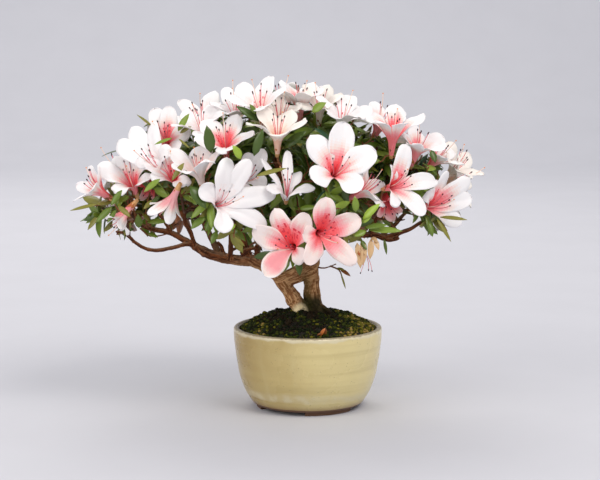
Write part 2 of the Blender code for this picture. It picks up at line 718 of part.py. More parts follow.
def grow_stalks(mass, masses, limb_tree, draw):
    """The stem from the bough's tip, a twig to the heart, and a stalk to each bloom."""
    others = tree_of([fat for m in masses if m is not mass for fat in m.fats])
    trees = (others, limb_tree)
    start = mass.tip + mass.aim * GAP * MM
    end = start + mass.aim * STEM_LENGTH * MM
    end_radius = mass.radius * STEM_TAPER
    sizes = (start, end, mass.radius, end_radius, 0.0)
    mass.solids.insert(0, twig_solid(*sizes, 0.0))
    mass.fats.insert(0, twig_solid(*sizes, CLEAR))
    mass.nodes = [(end - mass.aim * MM, end_radius, 0)]
    if (mass.heart - end).length > STEM_LENGTH * MM:
        reach_for(mass, mass.heart, TWIG_RADIUS, draw, trees)
    for throat, way in sorted(mass.blooms, key=lambda b: (b[0] - end).length):
        target = throat - way * (TUBE_LENGTH - STALK_SINK) * MM
        stalk = reach_for(mass, target, TWIG_RADIUS, draw, trees)
        if stalk:
            mass.sprays.append((target - stalk * (STALK_SINK + LEAF_FIRST) * MM, stalk, way))


def grow_whorl(mass, masses, taken, spray, count, draw):
    """Leaves round a twig's end, each turned a little until it has room, or skipped.

    A leaf has room where it stays in its mass's space and crosses no limb, no other
    mass, and no leaf or bloom of its own mass.
    """
    point, stalk, way = spray
    side = way.orthogonal().normalized()
    first = draw.uniform(0, math.tau)
    kept = 0
    for i in range(count * LEAF_TURNS):
        if kept == count:
            break
        turn = first + math.tau * i / count + draw.uniform(-LEAF_JITTER, LEAF_JITTER)
        lean = math.radians(draw.uniform(*LEAF_LEAN))
        ring = Matrix.Rotation(turn, 3, way) @ side
        aim = way * math.cos(lean) + ring * math.sin(lean)
        length = draw.uniform(*LEAF_LENGTH)
        root = point - (aim * LEAF_SINK + stalk * (LEAF_FIRST + LEAF_STAGGER * kept)) * MM
        fat = leaf_solid(root, aim, way, length, CLEAR)
        tip = root + aim * length * MM
        inside = all(margin(v.co, mass, masses) > SPACE_MARGIN for v in fat.verts)
        if inside and dome_level(tip) < LEAF_LIMIT and not meets(fat, taken):
            mass.leaves.append(leaf_solid(root, aim, way, length, 0.0))
            blade = leaf_solid(root + aim * LEAF_NECK * MM, aim, way, length - LEAF_NECK, GAP)
            taken.append(tree_of([blade]))
            blade.free()
            kept += 1
        fat.free()
    return kept


def grow_sprays(mass, masses, limb_tree, draw):
    """Leaves behind each bloom, then leafy twigs wherever the mass has room for them."""
    others = tree_of([fat for m in masses if m is not mass for fat in m.fats])
    trees = (others, limb_tree)
    taken = [others, limb_tree] + [tree_of([fat]) for fat in mass.bloom_fats]
    for spray in mass.sprays:
        grow_whorl(mass, masses, taken, spray, BLOOM_WHORL, draw)
    hearts = [bloom[0] for m in masses for bloom in m.blooms]
    for _ in range(SPRAYS_EACH):
        near = [spray[0] for spray in mass.sprays] + hearts
        spots = []
        for _ in range(SPRAY_SPOTS):
            point = mass.heart + at(*(draw.uniform(-SPRAY_REACH, SPRAY_REACH) for _ in range(3)))
            level = dome_level(point)
            if SPRAY_LEVELS[0] < level < SPRAY_LEVELS[1] and point.z > CROWN_FOOT * MM:
                if margin(point, mass, masses) > SPRAY_MARGIN:
                    spots.append((min((point - p).length for p in near), point))
        spots.sort(key=lambda spot: -spot[0])
        for _, point in spots[:SPRAY_TRIES]:
            before = (len(mass.solids), len(mass.nodes), len(mass.leaves), len(taken))
            stalk = reach_for(mass, point, TWIG_END_RADIUS, draw, trees)
            if stalk is None:
                continue
            way = (outward(point) + stalk + Vector((0, 0, SPRAY_RISE))).normalized()
            if grow_whorl(mass, masses, taken, (point, stalk, way), WHORL, draw) >= SPRAY_LEAST:
                mass.sprays.append((point, stalk, way))
                break
            del mass.solids[before[0]:]
            del mass.fats[before[0]:]
            del mass.nodes[before[1]:]
            del mass.leaves[before[2]:]
            del taken[before[3]:]


def crowded_place(body):
    """A point where a fused mesh touches itself or isn't closed, or None."""
    for weld in WELD_TESTS:
        bm = bmesh.new()
        bm.from_mesh(body.data)
        bmesh.ops.dissolve_degenerate(bm, edges=bm.edges, dist=weld * MM)
        bmesh.ops.remove_doubles(bm, verts=bm.verts, dist=weld * MM)
        bad = [edge for edge in bm.edges if len(edge.link_faces) != 2]
        if not bad:
            bad = [face for shell in shells_of(bm)[:-1] for face in shell]
        spot = bad[0].verts[0].co.copy() if bad else None
        bm.free()
        if spot:
            return spot
    return None


def nearest(bodies, point):
    """The body whose surface comes nearest to a point."""
    return min(bodies, key=lambda bm: tree_of([bm]).find_nearest(point)[3])


def fuse(mass, parts, mat):
    """Join a mass's solids into one body with one Boolean union on a collection.

    Where the union would touch itself, the solid nearest to that place is moved a
    little, and every so often the nearest leaf is left out instead.
    """
    turn = 0
    while True:
        pool = bpy.data.collections.new("pool")
        bpy.context.scene.collection.children.link(pool)
        stem, *rest = [bm.copy() for bm in mass.solids + mass.leaves]
        body = place(mass.name, stem, parts, mat)
        for i, bm in enumerate(rest):
            place("%s_bit_%d" % (mass.name, i), bm, pool)
        boolean(body, pool, "UNION", "MANIFOLD")
        for bit in list(pool.objects):
            remove(bit)
        bpy.data.collections.remove(pool)
        keep_largest(body)
        crowded = crowded_place(body)
        if crowded is None or not mass.leaves:
            break
        turn += 1
        if turn % NUDGES:
            near = nearest(mass.solids[1:] + mass.leaves, crowded)
            shift = Vector([NUDGE if axis == turn % 3 else 0.0 for axis in range(3)]) * MM
            bmesh.ops.translate(near, verts=near.verts, vec=shift)
        else:
            mass.leaves.remove(nearest(mass.leaves, crowded))
        remove(body)
    body.data.materials.clear()
    body.data.materials.append(mat)
    return body


def main():
    """Build the pot, the soil, the limbs and the masses of leaves and blooms."""
    for thing in list(bpy.data.objects):
        bpy.data.objects.remove(thing)
    parts = bpy.data.collections.new(COLLECTION)
    cutters = bpy.data.collections.new("cutters")
    bpy.context.scene.collection.children.link(parts)
    bpy.context.scene.collection.children.link(cutters)
    make_pot(parts, cutters)
    make_soil(parts)
    fats = make_limbs(parts, cutters)
    fat_meshes = []
    for fat in fats.values():
        bm = bmesh.new()
        bm.from_mesh(fat.data)
        fat_meshes.append(bm)
    limb_tree = tree_of(fat_meshes)
    foliage = material("leaves_and_blooms", (0.30, 0.36, 0.20), 0.6)
    draw = random.Random(SEED)
    masses = []
    for name, (bough, heart) in MASSES.items():
        points, _, end_radius, _ = LIMBS[bough]
        tip, before = at(*points[-1]), at(*points[-2])
        masses.append(Mass(name, at(*heart), tip, (tip - before).normalized(),
                           end_radius * STEM_SHARE))
    plant_blooms(masses, limb_tree, draw)
    for mass in masses:
        grow_stalks(mass, masses, limb_tree, draw)
    for mass in masses:
        grow_sprays(mass, masses, limb_tree, draw)
    for mass in masses:
        fuse(mass, parts, foliage)
    print("blooms", sum(len(mass.blooms) for mass in masses))
    print("leaves", sum(len(mass.leaves) for mass in masses))
    for fat in fats.values():
        remove(fat)


main()
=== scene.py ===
# %% [markdown]
# # An azalea bonsai in full bloom
#
# The real object is a dwarf azalea grown for its flowers, about 34 cm tall with its
# pot: two leaning trunks, spreading boughs, small glossy leaves, and some fifty white
# blooms with salmon throats. The solid model gives every part its place and size.
# This script gives each part its looks, and it moves nothing that the model holds.
# Sizes are written in millimetres, because a tree this small is easiest to picture
# that way, and MM turns them into Blender's metres.

import math
import random

import bmesh
import bpy
from mathutils import Matrix, Vector, noise
from mathutils.kdtree import KDTree


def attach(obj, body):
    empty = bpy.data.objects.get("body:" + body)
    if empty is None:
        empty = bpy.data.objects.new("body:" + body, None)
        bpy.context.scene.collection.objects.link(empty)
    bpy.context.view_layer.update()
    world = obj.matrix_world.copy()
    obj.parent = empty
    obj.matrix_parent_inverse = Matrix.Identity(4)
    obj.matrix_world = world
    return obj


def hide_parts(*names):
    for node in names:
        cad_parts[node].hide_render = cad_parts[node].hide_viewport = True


MM = 0.001
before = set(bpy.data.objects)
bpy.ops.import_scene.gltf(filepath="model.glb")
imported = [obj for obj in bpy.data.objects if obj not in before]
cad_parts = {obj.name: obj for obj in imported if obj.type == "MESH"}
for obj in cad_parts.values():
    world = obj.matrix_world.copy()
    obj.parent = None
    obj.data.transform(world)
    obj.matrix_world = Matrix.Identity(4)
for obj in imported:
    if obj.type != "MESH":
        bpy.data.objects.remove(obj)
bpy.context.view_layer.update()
MASS_NODES = sorted(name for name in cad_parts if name.startswith("mass_"))
WOOD_NODES = sorted(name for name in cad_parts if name.startswith(("trunk_", "bough_")))
print(len(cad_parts), "nodes:", len(MASS_NODES), "masses and", len(WOOD_NODES), "limbs")

# %% [markdown]
# ## The camera
#
# The photograph was taken from the front, a little above the tree, from nearly two
# metres away. A long lens from that distance keeps the pot's rim a thin ellipse. The
# camera comes first, so that every piece can be judged in its view from the start.

# %% Camera
CAMERA_PLACE = (-7.85, -1797.0, 406.0)
CAMERA_PITCH = 7.5        # degrees down
LENS = 108.0
SENSOR = 36.0


def at(x, y, z):
    """A place given in millimetres."""
    return Vector((x, y, z)) * MM


def put(name, data):
    """A new object that shows some data in the scene."""
    thing = bpy.data.objects.new(name, data)
    bpy.context.scene.collection.objects.link(thing)
    return thing


lens = bpy.data.cameras.new("camera")
lens.lens = LENS
lens.sensor_width = SENSOR
camera = put("camera", lens)
camera.location = at(*CAMERA_PLACE)
camera.rotation_euler = (math.radians(90 - CAMERA_PITCH), 0, 0)
bpy.context.scene.camera = camera
print("camera at", CAMERA_PLACE, "mm, looking", CAMERA_PITCH, "degrees down")

# %% [markdown]
# ## Writing materials as sums
#
# A material is a small program of nodes. Wrapping a socket in a class whose plus,
# minus and times signs add Math nodes lets a finish be written as an expression,
# which is far easier to read and change than a list of nodes and links.


# %% Shader sockets that can be added up
class Wire:
    """A socket of a material. Arithmetic with it adds Math nodes."""

    def __init__(self, finish, socket):
        self.finish = finish
        self.socket = socket

    def math(self, operation, first, second):
        """One Math node on two values or wires."""
        return self.finish.node("ShaderNodeMath", {"operation": operation}, {0: first, 1: second})

    def __add__(self, other):
        return self.math("ADD", self, other)

    def __sub__(self, other):
        return self.math("SUBTRACT", self, other)

    def __rsub__(self, other):
        return self.math("SUBTRACT", other, self)

    def __mul__(self, other):
        return self.math("MULTIPLY", self, other)


def srgb(red, green, blue):
    """A colour as a picture program shows it, from 0 to 255, as a linear colour."""
    return tuple((c / 255 / 12.92 if c < 11 else ((c / 255 + 0.055) / 1.055) ** 2.4)
                 for c in (red, green, blue))


class Finish:
    """A Principled material that is built up node by node. Its colours go from 0 to 255."""

    def __init__(self, name, colour, roughness, constants=None):
        self.colour = colour
        self.material = bpy.data.materials.new(name)
        self.material.use_nodes = True
        self.tree = self.material.node_tree
        self.shader = self.tree.nodes["Principled BSDF"]
        self.shader.inputs["Base Color"].default_value = (*srgb(*colour), 1.0)
        self.shader.inputs["Roughness"].default_value = roughness
        for socket, value in (constants or {}).items():
            self.shader.inputs[socket].default_value = value

    def node(self, kind, settings, inputs, output=0):
        """Add a node: its settings first, then its sockets, by name or number."""
        made = self.tree.nodes.new(kind)
        for name, value in settings.items():
            setattr(made, name, value)
        for name, value in inputs.items():
            if isinstance(value, Wire):
                self.tree.links.new(value.socket, made.inputs[name])
            else:
                made.inputs[name].default_value = value
        return Wire(self, made.outputs[output])

    def place(self):
        """Where a point is on the object, in metres."""
        return self.node("ShaderNodeTexCoord", {}, {}, "Object")

    def along(self, axis):
        """How far a point is along an axis, in millimetres."""
        return self.node("ShaderNodeSeparateXYZ", {}, {0: self.place()}, axis) * (1 / MM)

    def stretched(self, scale):
        """The place with each axis scaled by itself."""
        return self.node("ShaderNodeMapping", {}, {"Vector": self.place(), "Scale": scale})

    def noise(self, place, scale, detail=3.0):
        """Soft noise, from 0 to 1."""
        inputs = {"Vector": place, "Scale": scale, "Detail": detail}
        return self.node("ShaderNodeTexNoise", {}, inputs)

    def step(self, value, low, high):
        """0 below low, 1 above high, and smooth between them."""
        inputs = {"Value": value, "From Min": low, "From Max": high}
        return self.node("ShaderNodeMapRange", {"interpolation_type": "SMOOTHSTEP"}, inputs)

    def mix(self, share, first, second):
        """A colour between two colours."""
        first, second = [(*srgb(*c), 1.0) if isinstance(c, tuple) else c for c in (first, second)]
        inputs = {0: share, 6: first, 7: second}
        return self.node("ShaderNodeMix", {"data_type": "RGBA"}, inputs, 2)

    def attribute(self, name):
        """A number that the mesh carries at each point."""
        return self.node("ShaderNodeAttribute", {"attribute_name": name}, {}, "Fac")

    def feed(self, socket, wire):
        """Drive one of the shader's sockets."""
        self.tree.links.new(wire.socket, self.shader.inputs[socket])

    def layer(self, share, colour):
        """Lay a colour over what is there, by a share at each point."""
        self.colour = self.mix(share, self.colour, colour)
        self.feed("Base Color", self.colour)

    def vary_roughness(self, scale, span, least):
        """Let noise raise the roughness from its least value."""
        self.feed("Roughness", self.noise(self.place(), scale) * span + least)

    def bump(self, height, distance):
        """Fine relief, with its depth in millimetres."""
        inputs = {"Height": height, "Distance": distance * MM, "Strength": 1.0}
        self.feed("Normal", self.node("ShaderNodeBump", {}, inputs))


def palette(prefix, colours, roughness, constants, variation):
    """A finish for each of some named colours, with the same variation in roughness."""
    finishes = []
    for name, colour in colours.items():
        finishes.append(Finish(prefix + name, colour, roughness, constants))
        finishes[-1].vary_roughness(*variation)
    return finishes


print("a Finish is ready to take nodes")

# %% [markdown]
# ## The studio
#
# The tree stands on a plain pale floor that sweeps up behind it, so no edge shows.
# The photograph's light is broad and soft and comes from above and a little from the
# right, which leaves the left of the pot in gentle shade. Large area lights do that.

# %% Floor and light
SWEEP_SIZE = 7.0          # metres
SWEEP_START = 2.6
SWEEP_RADIUS = 1.4
TREE = (0, 0, 200)        # what most lights are aimed at
WALL = (-1000, 4300, 1500)
LIGHTS = (("key_light", (1200, -1500, 2200), 1.3, 36, TREE),
          ("fill_light", (-1900, -1600, 1300), 1.8, 27, TREE),
          ("back_light", (-400, 1600, 2200), 1.6, 20, TREE),
          ("wall_light", (-600, 1900, 3200), 3.0, 38, WALL))
LAMP_COLOUR = (255, 250, 243)
AIR_COLOUR = (244, 244, 246)
AIR_STRENGTH = 0.62


def mesh_of(name, bm):
    """A mesh from a bmesh, which it uses up."""
    mesh = bpy.data.meshes.new(name)
    bm.to_mesh(mesh)
    bm.free()
    return mesh


def sweep_paper():
    """A floor that curves up into a backdrop."""
    bm = bmesh.new()
    bmesh.ops.create_grid(bm, x_segments=4, y_segments=180, size=SWEEP_SIZE)
    for vert in bm.verts:
        past = vert.co.y - SWEEP_START
        quarter = SWEEP_RADIUS * math.pi / 2
        if past > quarter:
            vert.co.y = SWEEP_START + SWEEP_RADIUS
            vert.co.z = SWEEP_RADIUS + past - quarter
        elif past > 0:
            turn = past / SWEEP_RADIUS
            vert.co.y = SWEEP_START + SWEEP_RADIUS * math.sin(turn)
            vert.co.z = SWEEP_RADIUS * (1 - math.cos(turn))
    paper = Finish("studio_paper", (204, 205, 213), 0.9)
    paper.feed("Base Color", paper.mix(paper.noise(paper.place(), 9.0), (201, 202, 210), (207, 208, 216)))
    mesh = mesh_of("studio_floor", bm)
    mesh.materials.append(paper.material)
    mesh.shade_smooth()
    floor = put("studio_floor", mesh)


def soft_light(name, place, size, power, aim):
    """A square area light of a warm white, with its size in metres and its power in watts."""
    data = bpy.data.lights.new(name, "AREA")
    data.color = srgb(*LAMP_COLOUR)
    data.size = size
    data.energy = power
    light = put(name, data)
    light.location = at(*place)
    light.rotation_euler = (at(*aim) - light.location).to_track_quat("-Z", "Y").to_euler()


sweep_paper()
for facts in LIGHTS:
    soft_light(*facts)
world = bpy.data.worlds.new("studio_air")
world.use_nodes = True
air = world.node_tree.nodes["Background"]
air.inputs["Color"].default_value = (*srgb(*AIR_COLOUR), 1.0)
air.inputs["Strength"].default_value = AIR_STRENGTH
bpy.context.scene.world = world
bpy.context.scene.view_settings.view_transform = "Standard"
print("paper sweep and", len(bpy.data.lights), "lights")

# %% [markdown]
# ## How a piece is finished
#
# Every piece rides on the model's one body, carries the finishes that it is given,
# and may stand for the plain solids, which it then hides. One helper does all of it.


# %% Finishing a piece
def finished(name, bm, finishes, nodes=()):
    """Turn a bmesh into a piece that rides on the body and stands for some nodes."""
    mesh = mesh_of(name, bm)
    for finish in finishes:
        mesh.materials.append(finish.material)
    mesh.shade_smooth()
    piece = put(name, mesh)
    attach(piece, "root")
    if nodes:
        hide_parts(*nodes)
    print(name, "has", triangles(mesh), "triangles")
    return piece


def triangles(mesh):
    """How many triangles a mesh has."""
    return sum(len(face.vertices) - 2 for face in mesh.polygons)


def shown_mesh(thing):
    """An object's mesh with its modifiers, or its curve's roundness, worked out."""
    graph = bpy.context.evaluated_depsgraph_get()
    return bpy.data.meshes.new_from_object(thing.evaluated_get(graph))


def bake_modifiers(piece):
    """Work a piece's modifiers into its mesh."""
    mesh = shown_mesh(piece)
    piece.modifiers.clear()
    piece.data = mesh


def taken_apart(thing):
    """An object's shown mesh as a bmesh. The object itself goes."""
    bm = bmesh.new()
    bm.from_mesh(shown_mesh(thing))
    bpy.data.objects.remove(thing)
    return bm


def smoothly(share):
    """0 to 1 with a gentle start and end."""
    share = min(max(share, 0.0), 1.0)
    return share * share * (3 - 2 * share)


# %% [markdown]
# ## The pot
#
# The pot is thrown on a wheel, so its body is a profile turned round an axis. The
# spin operator does what the wheel does. The thrower's fingers leave soft rings, which
# are real relief in the profile here, and the lip is rounded by a half circle of
# points. Three low arches are cut out of its foot: the photograph shows one and the
# end of another.

# %% Pot
POT_WALL = ((54.0, 4.0), (57.6, 7.5), (63.6, 18.0), (68.2, 30.0), (71.0, 43.0), (73.7, 61.0),
            (75.0, 76.0), (75.1, 79.0))
POT_LIP = (72.1, 79.0)    # the lip's centre line
LIP_ROUND = 3.0
POT_FLOOR = 10.0
WALL_THICKNESS = 5.6
FOOT_RADIUS = 52.0
FOOT_HEIGHT = 4.0
FOOT_EDGE = 0.8           # the bevel at the foot's lower edge
SPIN_STEPS = 144
DRUM_SIDES = 64
SCALLOPS = 3
SCALLOP_FIRST = -124.0    # degrees from +X
SCALLOP_REACH = 50.0
SCALLOP_RADIUS = 27.0
SCALLOP_HEIGHT = 3.6
DRAIN_REACH = 36.0
DRAIN_RADIUS = 5.0


def smooth_line(points, steps):
    """A smooth line through points, with some steps between each two."""
    line = []
    for i in range(len(points) - 1):
        before = points[max(i - 1, 0)]
        start, end = points[i], points[i + 1]
        after = points[min(i + 2, len(points) - 1)]
        for s in range(steps):
            t = s / steps
            line.append(0.5 * (2 * start + (end - before) * t
                               + (2 * before - 5 * start + 4 * end - after) * t ** 2
                               + (3 * start - before - 3 * end + after) * t ** 3))
    line.append(points[-1])
    return line


def throwing_rings(height):
    """How far the thrower's rings stand out at a height."""
    return 0.04 * math.sin(height * 0.86) + 0.07 * math.sin(height * 0.37 + 1.0)


def spun(profile, steps):
    """A closed body from a profile of (radius, height) that starts and ends on the axis."""
    bm = bmesh.new()
    verts = [bm.verts.new(at(r, 0, z)) for r, z in profile]
    edges = [bm.edges.new(pair) for pair in zip(verts, verts[1:])]
    bmesh.ops.spin(bm, geom=verts + edges, cent=(0, 0, 0), axis=(0, 0, 1), angle=math.tau,
                   steps=steps, use_merge=True)
    bmesh.ops.remove_doubles(bm, verts=bm.verts, dist=0.01 * MM)
    bmesh.ops.recalc_face_normals(bm, faces=bm.faces)
    return bm


def cut_drums(piece, drums):
    """Cut upright drums, given by radius, bottom, top and place, out of a piece."""
    cutters = []
    for radius, low, high, x, y in drums:
        bm = bmesh.new()
        bmesh.ops.create_cone(bm, cap_ends=True, segments=DRUM_SIDES, radius1=radius * MM,
                              radius2=radius * MM, depth=(high - low) * MM)
        bmesh.ops.translate(bm, verts=bm.verts, vec=at(x, y, (low + high) / 2))
        cutters.append(put("cutter", mesh_of("cutter", bm)))
        cut = piece.modifiers.new("cut", "BOOLEAN")
        cut.operation = "DIFFERENCE"
        cut.object = cutters[-1]
    bake_modifiers(piece)
    for cutter in cutters:
        bpy.data.objects.remove(cutter)


outside = smooth_line([Vector(point) for point in POT_WALL], 10)
wall = [(r + throwing_rings(z) * smoothly((z - 8) / 8), z) for r, z in outside]
lip = [(POT_LIP[0] + LIP_ROUND * math.cos(turn), POT_LIP[1] + LIP_ROUND * math.sin(turn))
       for turn in (math.pi * i / 12 for i in range(1, 12))]
inside = [(r - WALL_THICKNESS, max(z, POT_FLOOR)) for r, z in reversed(outside) if z > 9]
foot = ((0.0, 0.0), (FOOT_RADIUS - FOOT_EDGE, 0.0), (FOOT_RADIUS, FOOT_EDGE),
        (FOOT_RADIUS, FOOT_HEIGHT - FOOT_EDGE / 2))
profile = (*foot, *wall, *lip, *inside, (0.0, POT_FLOOR))
print(len(profile), "points in the pot's profile, widest", round(max(r for r, z in wall), 1), "mm")

# %% [markdown]
# ### The glaze
#
# The glaze is a soft olive cream, thicker and paler in some places, with fine dark
# specks of iron, a chalky band of lime where water has dried near the foot, and a
# worn lip where the clay shows through. The foot is bare brown clay. The left side is
# darker, partly the glaze's own uneven tone and partly painted shade. All of it
# depends on height, side and a little noise, so it reads the Object coordinates.

# %% Pot glaze
glaze = Finish("pot_glaze", (196, 186, 138), 0.3, {"Coat Weight": 0.25, "Coat Roughness": 0.12})
spot = glaze.place()
height, side = glaze.along("Z"), glaze.along("X")
cloud = glaze.noise(spot, 26.0, 4.0)
streak = glaze.noise(glaze.stretched((6.0, 6.0, 190.0)), 1.0, 3.0)
drift = glaze.noise(glaze.stretched((60.0, 60.0, 12.0)), 1.0, 4.0)
# Olive on the left to cream on the right: partly the glaze's own uneven tone, partly painted shade on the
# left side.
glaze.colour = glaze.mix(glaze.step(side + cloud * 60.0, -66.0, 70.0), (152, 122, 52), (222, 206, 149))
glaze.layer(glaze.step(streak, 0.42, 0.68) * 0.3, (184, 166, 108))
glaze.layer(glaze.step(drift, 0.5, 0.75) * 0.14, (218, 210, 168))
speck = glaze.node("ShaderNodeTexVoronoi", {}, {"Vector": spot, "Scale": 420.0}, "Distance")
speck = (1.0 - glaze.step(speck, 0.10, 0.2)) * glaze.step(glaze.noise(spot, 150.0, 1.0), 0.56, 0.62)
glaze.layer(speck * 0.7, (92, 76, 50))
lime = glaze.step(height + cloud * 9.0, 17.5, 21.0) * (1.0 - glaze.step(height + cloud * 12.0, 25.0, 32.0))
lime = lime * (glaze.step(glaze.noise(spot, 110.0, 5.0), 0.34, 0.66) * 0.6 + 0.3)
glaze.layer(lime * 0.6, (220, 212, 184))
# The glaze is darker low down, towards the foot.
darker_near_foot = (1.0 - glaze.step(height, 6.0, 13.0)) * 0.7
glaze.layer(darker_near_foot, (150, 122, 76))
chalk = glaze.step(height + glaze.noise(spot, 70.0, 4.0) * 7.0, 80.2, 83.2) * 0.65
glaze.layer(chalk, (222, 214, 190))
worn = glaze.step(height + glaze.noise(spot, 240.0, 4.0) * 2.6, 81.6, 82.6)
glaze.layer(worn * 0.7, (132, 118, 92))
clay = 1.0 - glaze.step(height + cloud * 3.0, 7.6, 8.4)
glaze.layer(clay, (104, 72, 50))
glaze.feed("Roughness", lime * 0.35 + clay * 0.5 + worn * 0.3 + cloud * 0.14 + 0.2)
glaze.bump(glaze.noise(spot, 900.0, 2.0) + streak * 0.8, 0.12)

pot = finished("pot_body", spun(profile, SPIN_STEPS), [glaze], ["pot"])
drums = []
for i in range(SCALLOPS):
    angle = math.radians(SCALLOP_FIRST + 360 / SCALLOPS * i)
    x, y = math.cos(angle), math.sin(angle)
    drums.append((SCALLOP_RADIUS, -SCALLOP_HEIGHT, SCALLOP_HEIGHT, x * SCALLOP_REACH, y * SCALLOP_REACH))
    drums.append((DRAIN_RADIUS, SCALLOP_HEIGHT / 2, POT_FLOOR * 1.2, x * DRAIN_REACH, y * DRAIN_REACH))
cut_drums(pot, drums)
print("pot cut to", len(pot.data.polygons), "faces")

# %% [markdown]
# ## Soil and moss
#
# The soil fills the pot and rises to a mound under the trunks. Its body is spun from
# a profile, as the pot is. A smooth mound would look like plastic, so noise lifts and
# sinks the points of its top, which costs less than sculpting and is easy to change.

# %% Mound
MOUND = ((0.0, 96.5), (20.0, 96.0), (34.0, 94.0), (45.0, 91.0), (57.0, 86.0), (64.0, 81.5),
         (68.2, 77.5))
SOIL_BOTTOM = 66.0
SOIL_STEPS = 96
KNOB = (-16, -14)         # a lump of soil before the left trunk
KNOB_HEIGHT = 4.0
mound_line = smooth_line([Vector(point) for point in MOUND], 8)


def level_at(line, x):
    """The height of a line of points at x. Past the last point it stays level."""
    for (x0, z0), (x1, z1) in zip(line, line[1:]):
        if x <= x1:
            return z0 + (z1 - z0) * (x - x0) / (x1 - x0)
    return line[-1][1]


def mound_height(x, y):
    """The soil's height at a place, in millimetres. It is smooth beside the pot's wall."""
    radius = math.hypot(x, y)
    lumps = noise.noise(Vector((x, y, 0)) / 9.0) * 2.2 + noise.noise(Vector((x, y, 7)) / 3.5) * 1.3
    lumps += KNOB_HEIGHT * math.exp(-((x - KNOB[0]) ** 2 + (y - KNOB[1]) ** 2) / 90)
    return level_at(mound_line, radius) + lumps * (1 - smoothly((radius - 60) / 8))


soil = Finish("damp_soil", (38, 34, 22), 0.95)
spot = soil.place()
soil.colour = soil.mix(soil.noise(spot, 220.0, 4.0), (12, 12, 8), (38, 32, 19))
soil.layer(soil.step(soil.noise(spot, 60.0, 3.0), 0.5, 0.6), (30, 33, 13))
soil.feed("Roughness", 1.0 - soil.noise(spot, 320.0, 2.0) * 0.2)
soil.bump(soil.noise(spot, 700.0, 4.0), 0.8)
soil_edge = MOUND[-1][0]
bm = spun((*((r, z) for r, z in mound_line), (soil_edge, SOIL_BOTTOM), (0.0, SOIL_BOTTOM)), SOIL_STEPS)
for vert in bm.verts:
    if vert.co.z > (MOUND[-1][1] + 0.2) * MM:
        vert.co.z = mound_height(vert.co.x / MM, vert.co.y / MM) * MM
finished("soil_mound", bm, [soil], ["soil"])

# %% [markdown]
# ### Crumbs and moss
#
# Grit and moss lie all over the real mound. A sphere of twenty faces does for a crumb
# and a three-sided cone for a tip of moss: there are thousands, and none is looked at
# alone. Each takes one of six plain colours by where it lies: nearly black in the
# middle, yellow-green outside. Operators get slow in a large bmesh, so the shapes are
# made in chunks, which are then joined.


# %% Crumbs and moss tufts
class Heap:
    """A heap of small shapes, joined by the chunk."""

    CHUNK = 250

    def __init__(self):
        self.whole = bmesh.new()
        self.chunk = bmesh.new()
        self.count = 0

    def open(self):
        """The bmesh that the next shape goes into."""
        self.count += 1
        if self.count % self.CHUNK == 0:
            self.close()
        return self.chunk

    def close(self):
        """Move the chunk's shapes to the whole, and answer the whole."""
        mesh = bpy.data.meshes.new("chunk")
        self.chunk.to_mesh(mesh)
        self.whole.from_mesh(mesh)
        bpy.data.meshes.remove(mesh)
        self.chunk.clear()
        return self.whole


def faces_of(verts):
    """The faces of some verts, each one once and always in the same order."""
    return dict.fromkeys(face for vert in verts for face in vert.link_faces)


def dye(verts, number):
    """Give the faces of some verts the piece's finish of that number."""
    for face in faces_of(verts):
        face.material_index = number


MOSS_COLOURS = {"black": (10, 11, 6), "brown": (38, 28, 15), "dark": (22, 30, 9),
                "green": (54, 62, 15), "yellow": (102, 97, 26), "straw": (150, 126, 68)}
CRUMBS = 5200
TUFTS = 2600
MOSS_REACH = 67.0
STRAW_SHARE = 0.2         # of the places where straw colour may show
moss = palette("moss_", MOSS_COLOURS, 0.9, {"Specular IOR Level": 0.15}, (300.0, 0.3, 0.65))


def moss_colour(x, y, draw):
    """Which colour a crumb takes: yellower to the right and outside, black in the middle."""
    field = noise.noise(Vector((x, y, 3)) / 14.0) * 0.5 + smoothly((x - 6) / 50) * 0.5
    field += smoothly((math.hypot(x, y) - 40) / 30) * 0.2 + draw.uniform(-0.3, 0.6) * draw.random()
    field += smoothly((-x - 16) / 40) * 0.2
    return min(max(int(field * 4.2 + 0.8), 0), 5 if draw.random() < STRAW_SHARE else 4)


def mound_spot(draw):
    """A place on the mound."""
    radius = MOSS_REACH * math.sqrt(draw.random())
    turn = draw.uniform(0, math.tau)
    return radius * math.cos(turn), radius * math.sin(turn)


draw = random.Random(5)
heap = Heap()
for _ in range(CRUMBS):
    x, y = mound_spot(draw)
    size = 0.7 + 1.9 * draw.random() ** 2.5
    bm = heap.open()
    colour = min(moss_colour(x, y, draw) + (1 if size > 1.5 else 0), 5)
    made = bmesh.ops.create_icosphere(bm, subdivisions=1, radius=size * MM)["verts"]
    bmesh.ops.scale(bm, vec=(1.0, draw.uniform(0.6, 1.0), draw.uniform(0.5, 0.9)), verts=made)
    bmesh.ops.rotate(bm, verts=made, matrix=Matrix.Rotation(draw.uniform(0, 3), 3, "Z"))
    bmesh.ops.translate(bm, vec=at(x, y, mound_height(x, y) + size * 0.2), verts=made)
    dye(made, colour)
finished("moss_crumbs", heap.close(), moss)

heap = Heap()
for _ in range(TUFTS):
    x, y = mound_spot(draw)
    bm = heap.open()
    colour = min(moss_colour(x, y, draw) + 1, 4)
    tall = draw.uniform(1.2, 3.0)
    made = bmesh.ops.create_cone(bm, segments=3, radius1=0.42 * MM, radius2=0.05 * MM, depth=tall * MM,
                                 cap_ends=True)["verts"]
    sideways, forwards = [Matrix.Rotation(draw.uniform(-0.7, 0.7), 3, axis) for axis in "XY"]
    bmesh.ops.rotate(bm, verts=made, matrix=sideways @ forwards)
    bmesh.ops.translate(bm, vec=at(x, y, mound_height(x, y) + tall * 0.35), verts=made)
    dye(made, colour)
finished("moss_tufts", heap.close(), moss)

# %% [markdown]
# ## Trunks and boughs
#
# The skeleton is the same list of limbs as the solid model's, each a line of places
# with a radius at both ends. Curves with a bevel make them quickly as tubes. Real
# wood has no seams where limbs meet, so the tubes are joined by a voxel remesh, which
# wraps one skin round them all, and the bark's relief is then pressed into that skin.

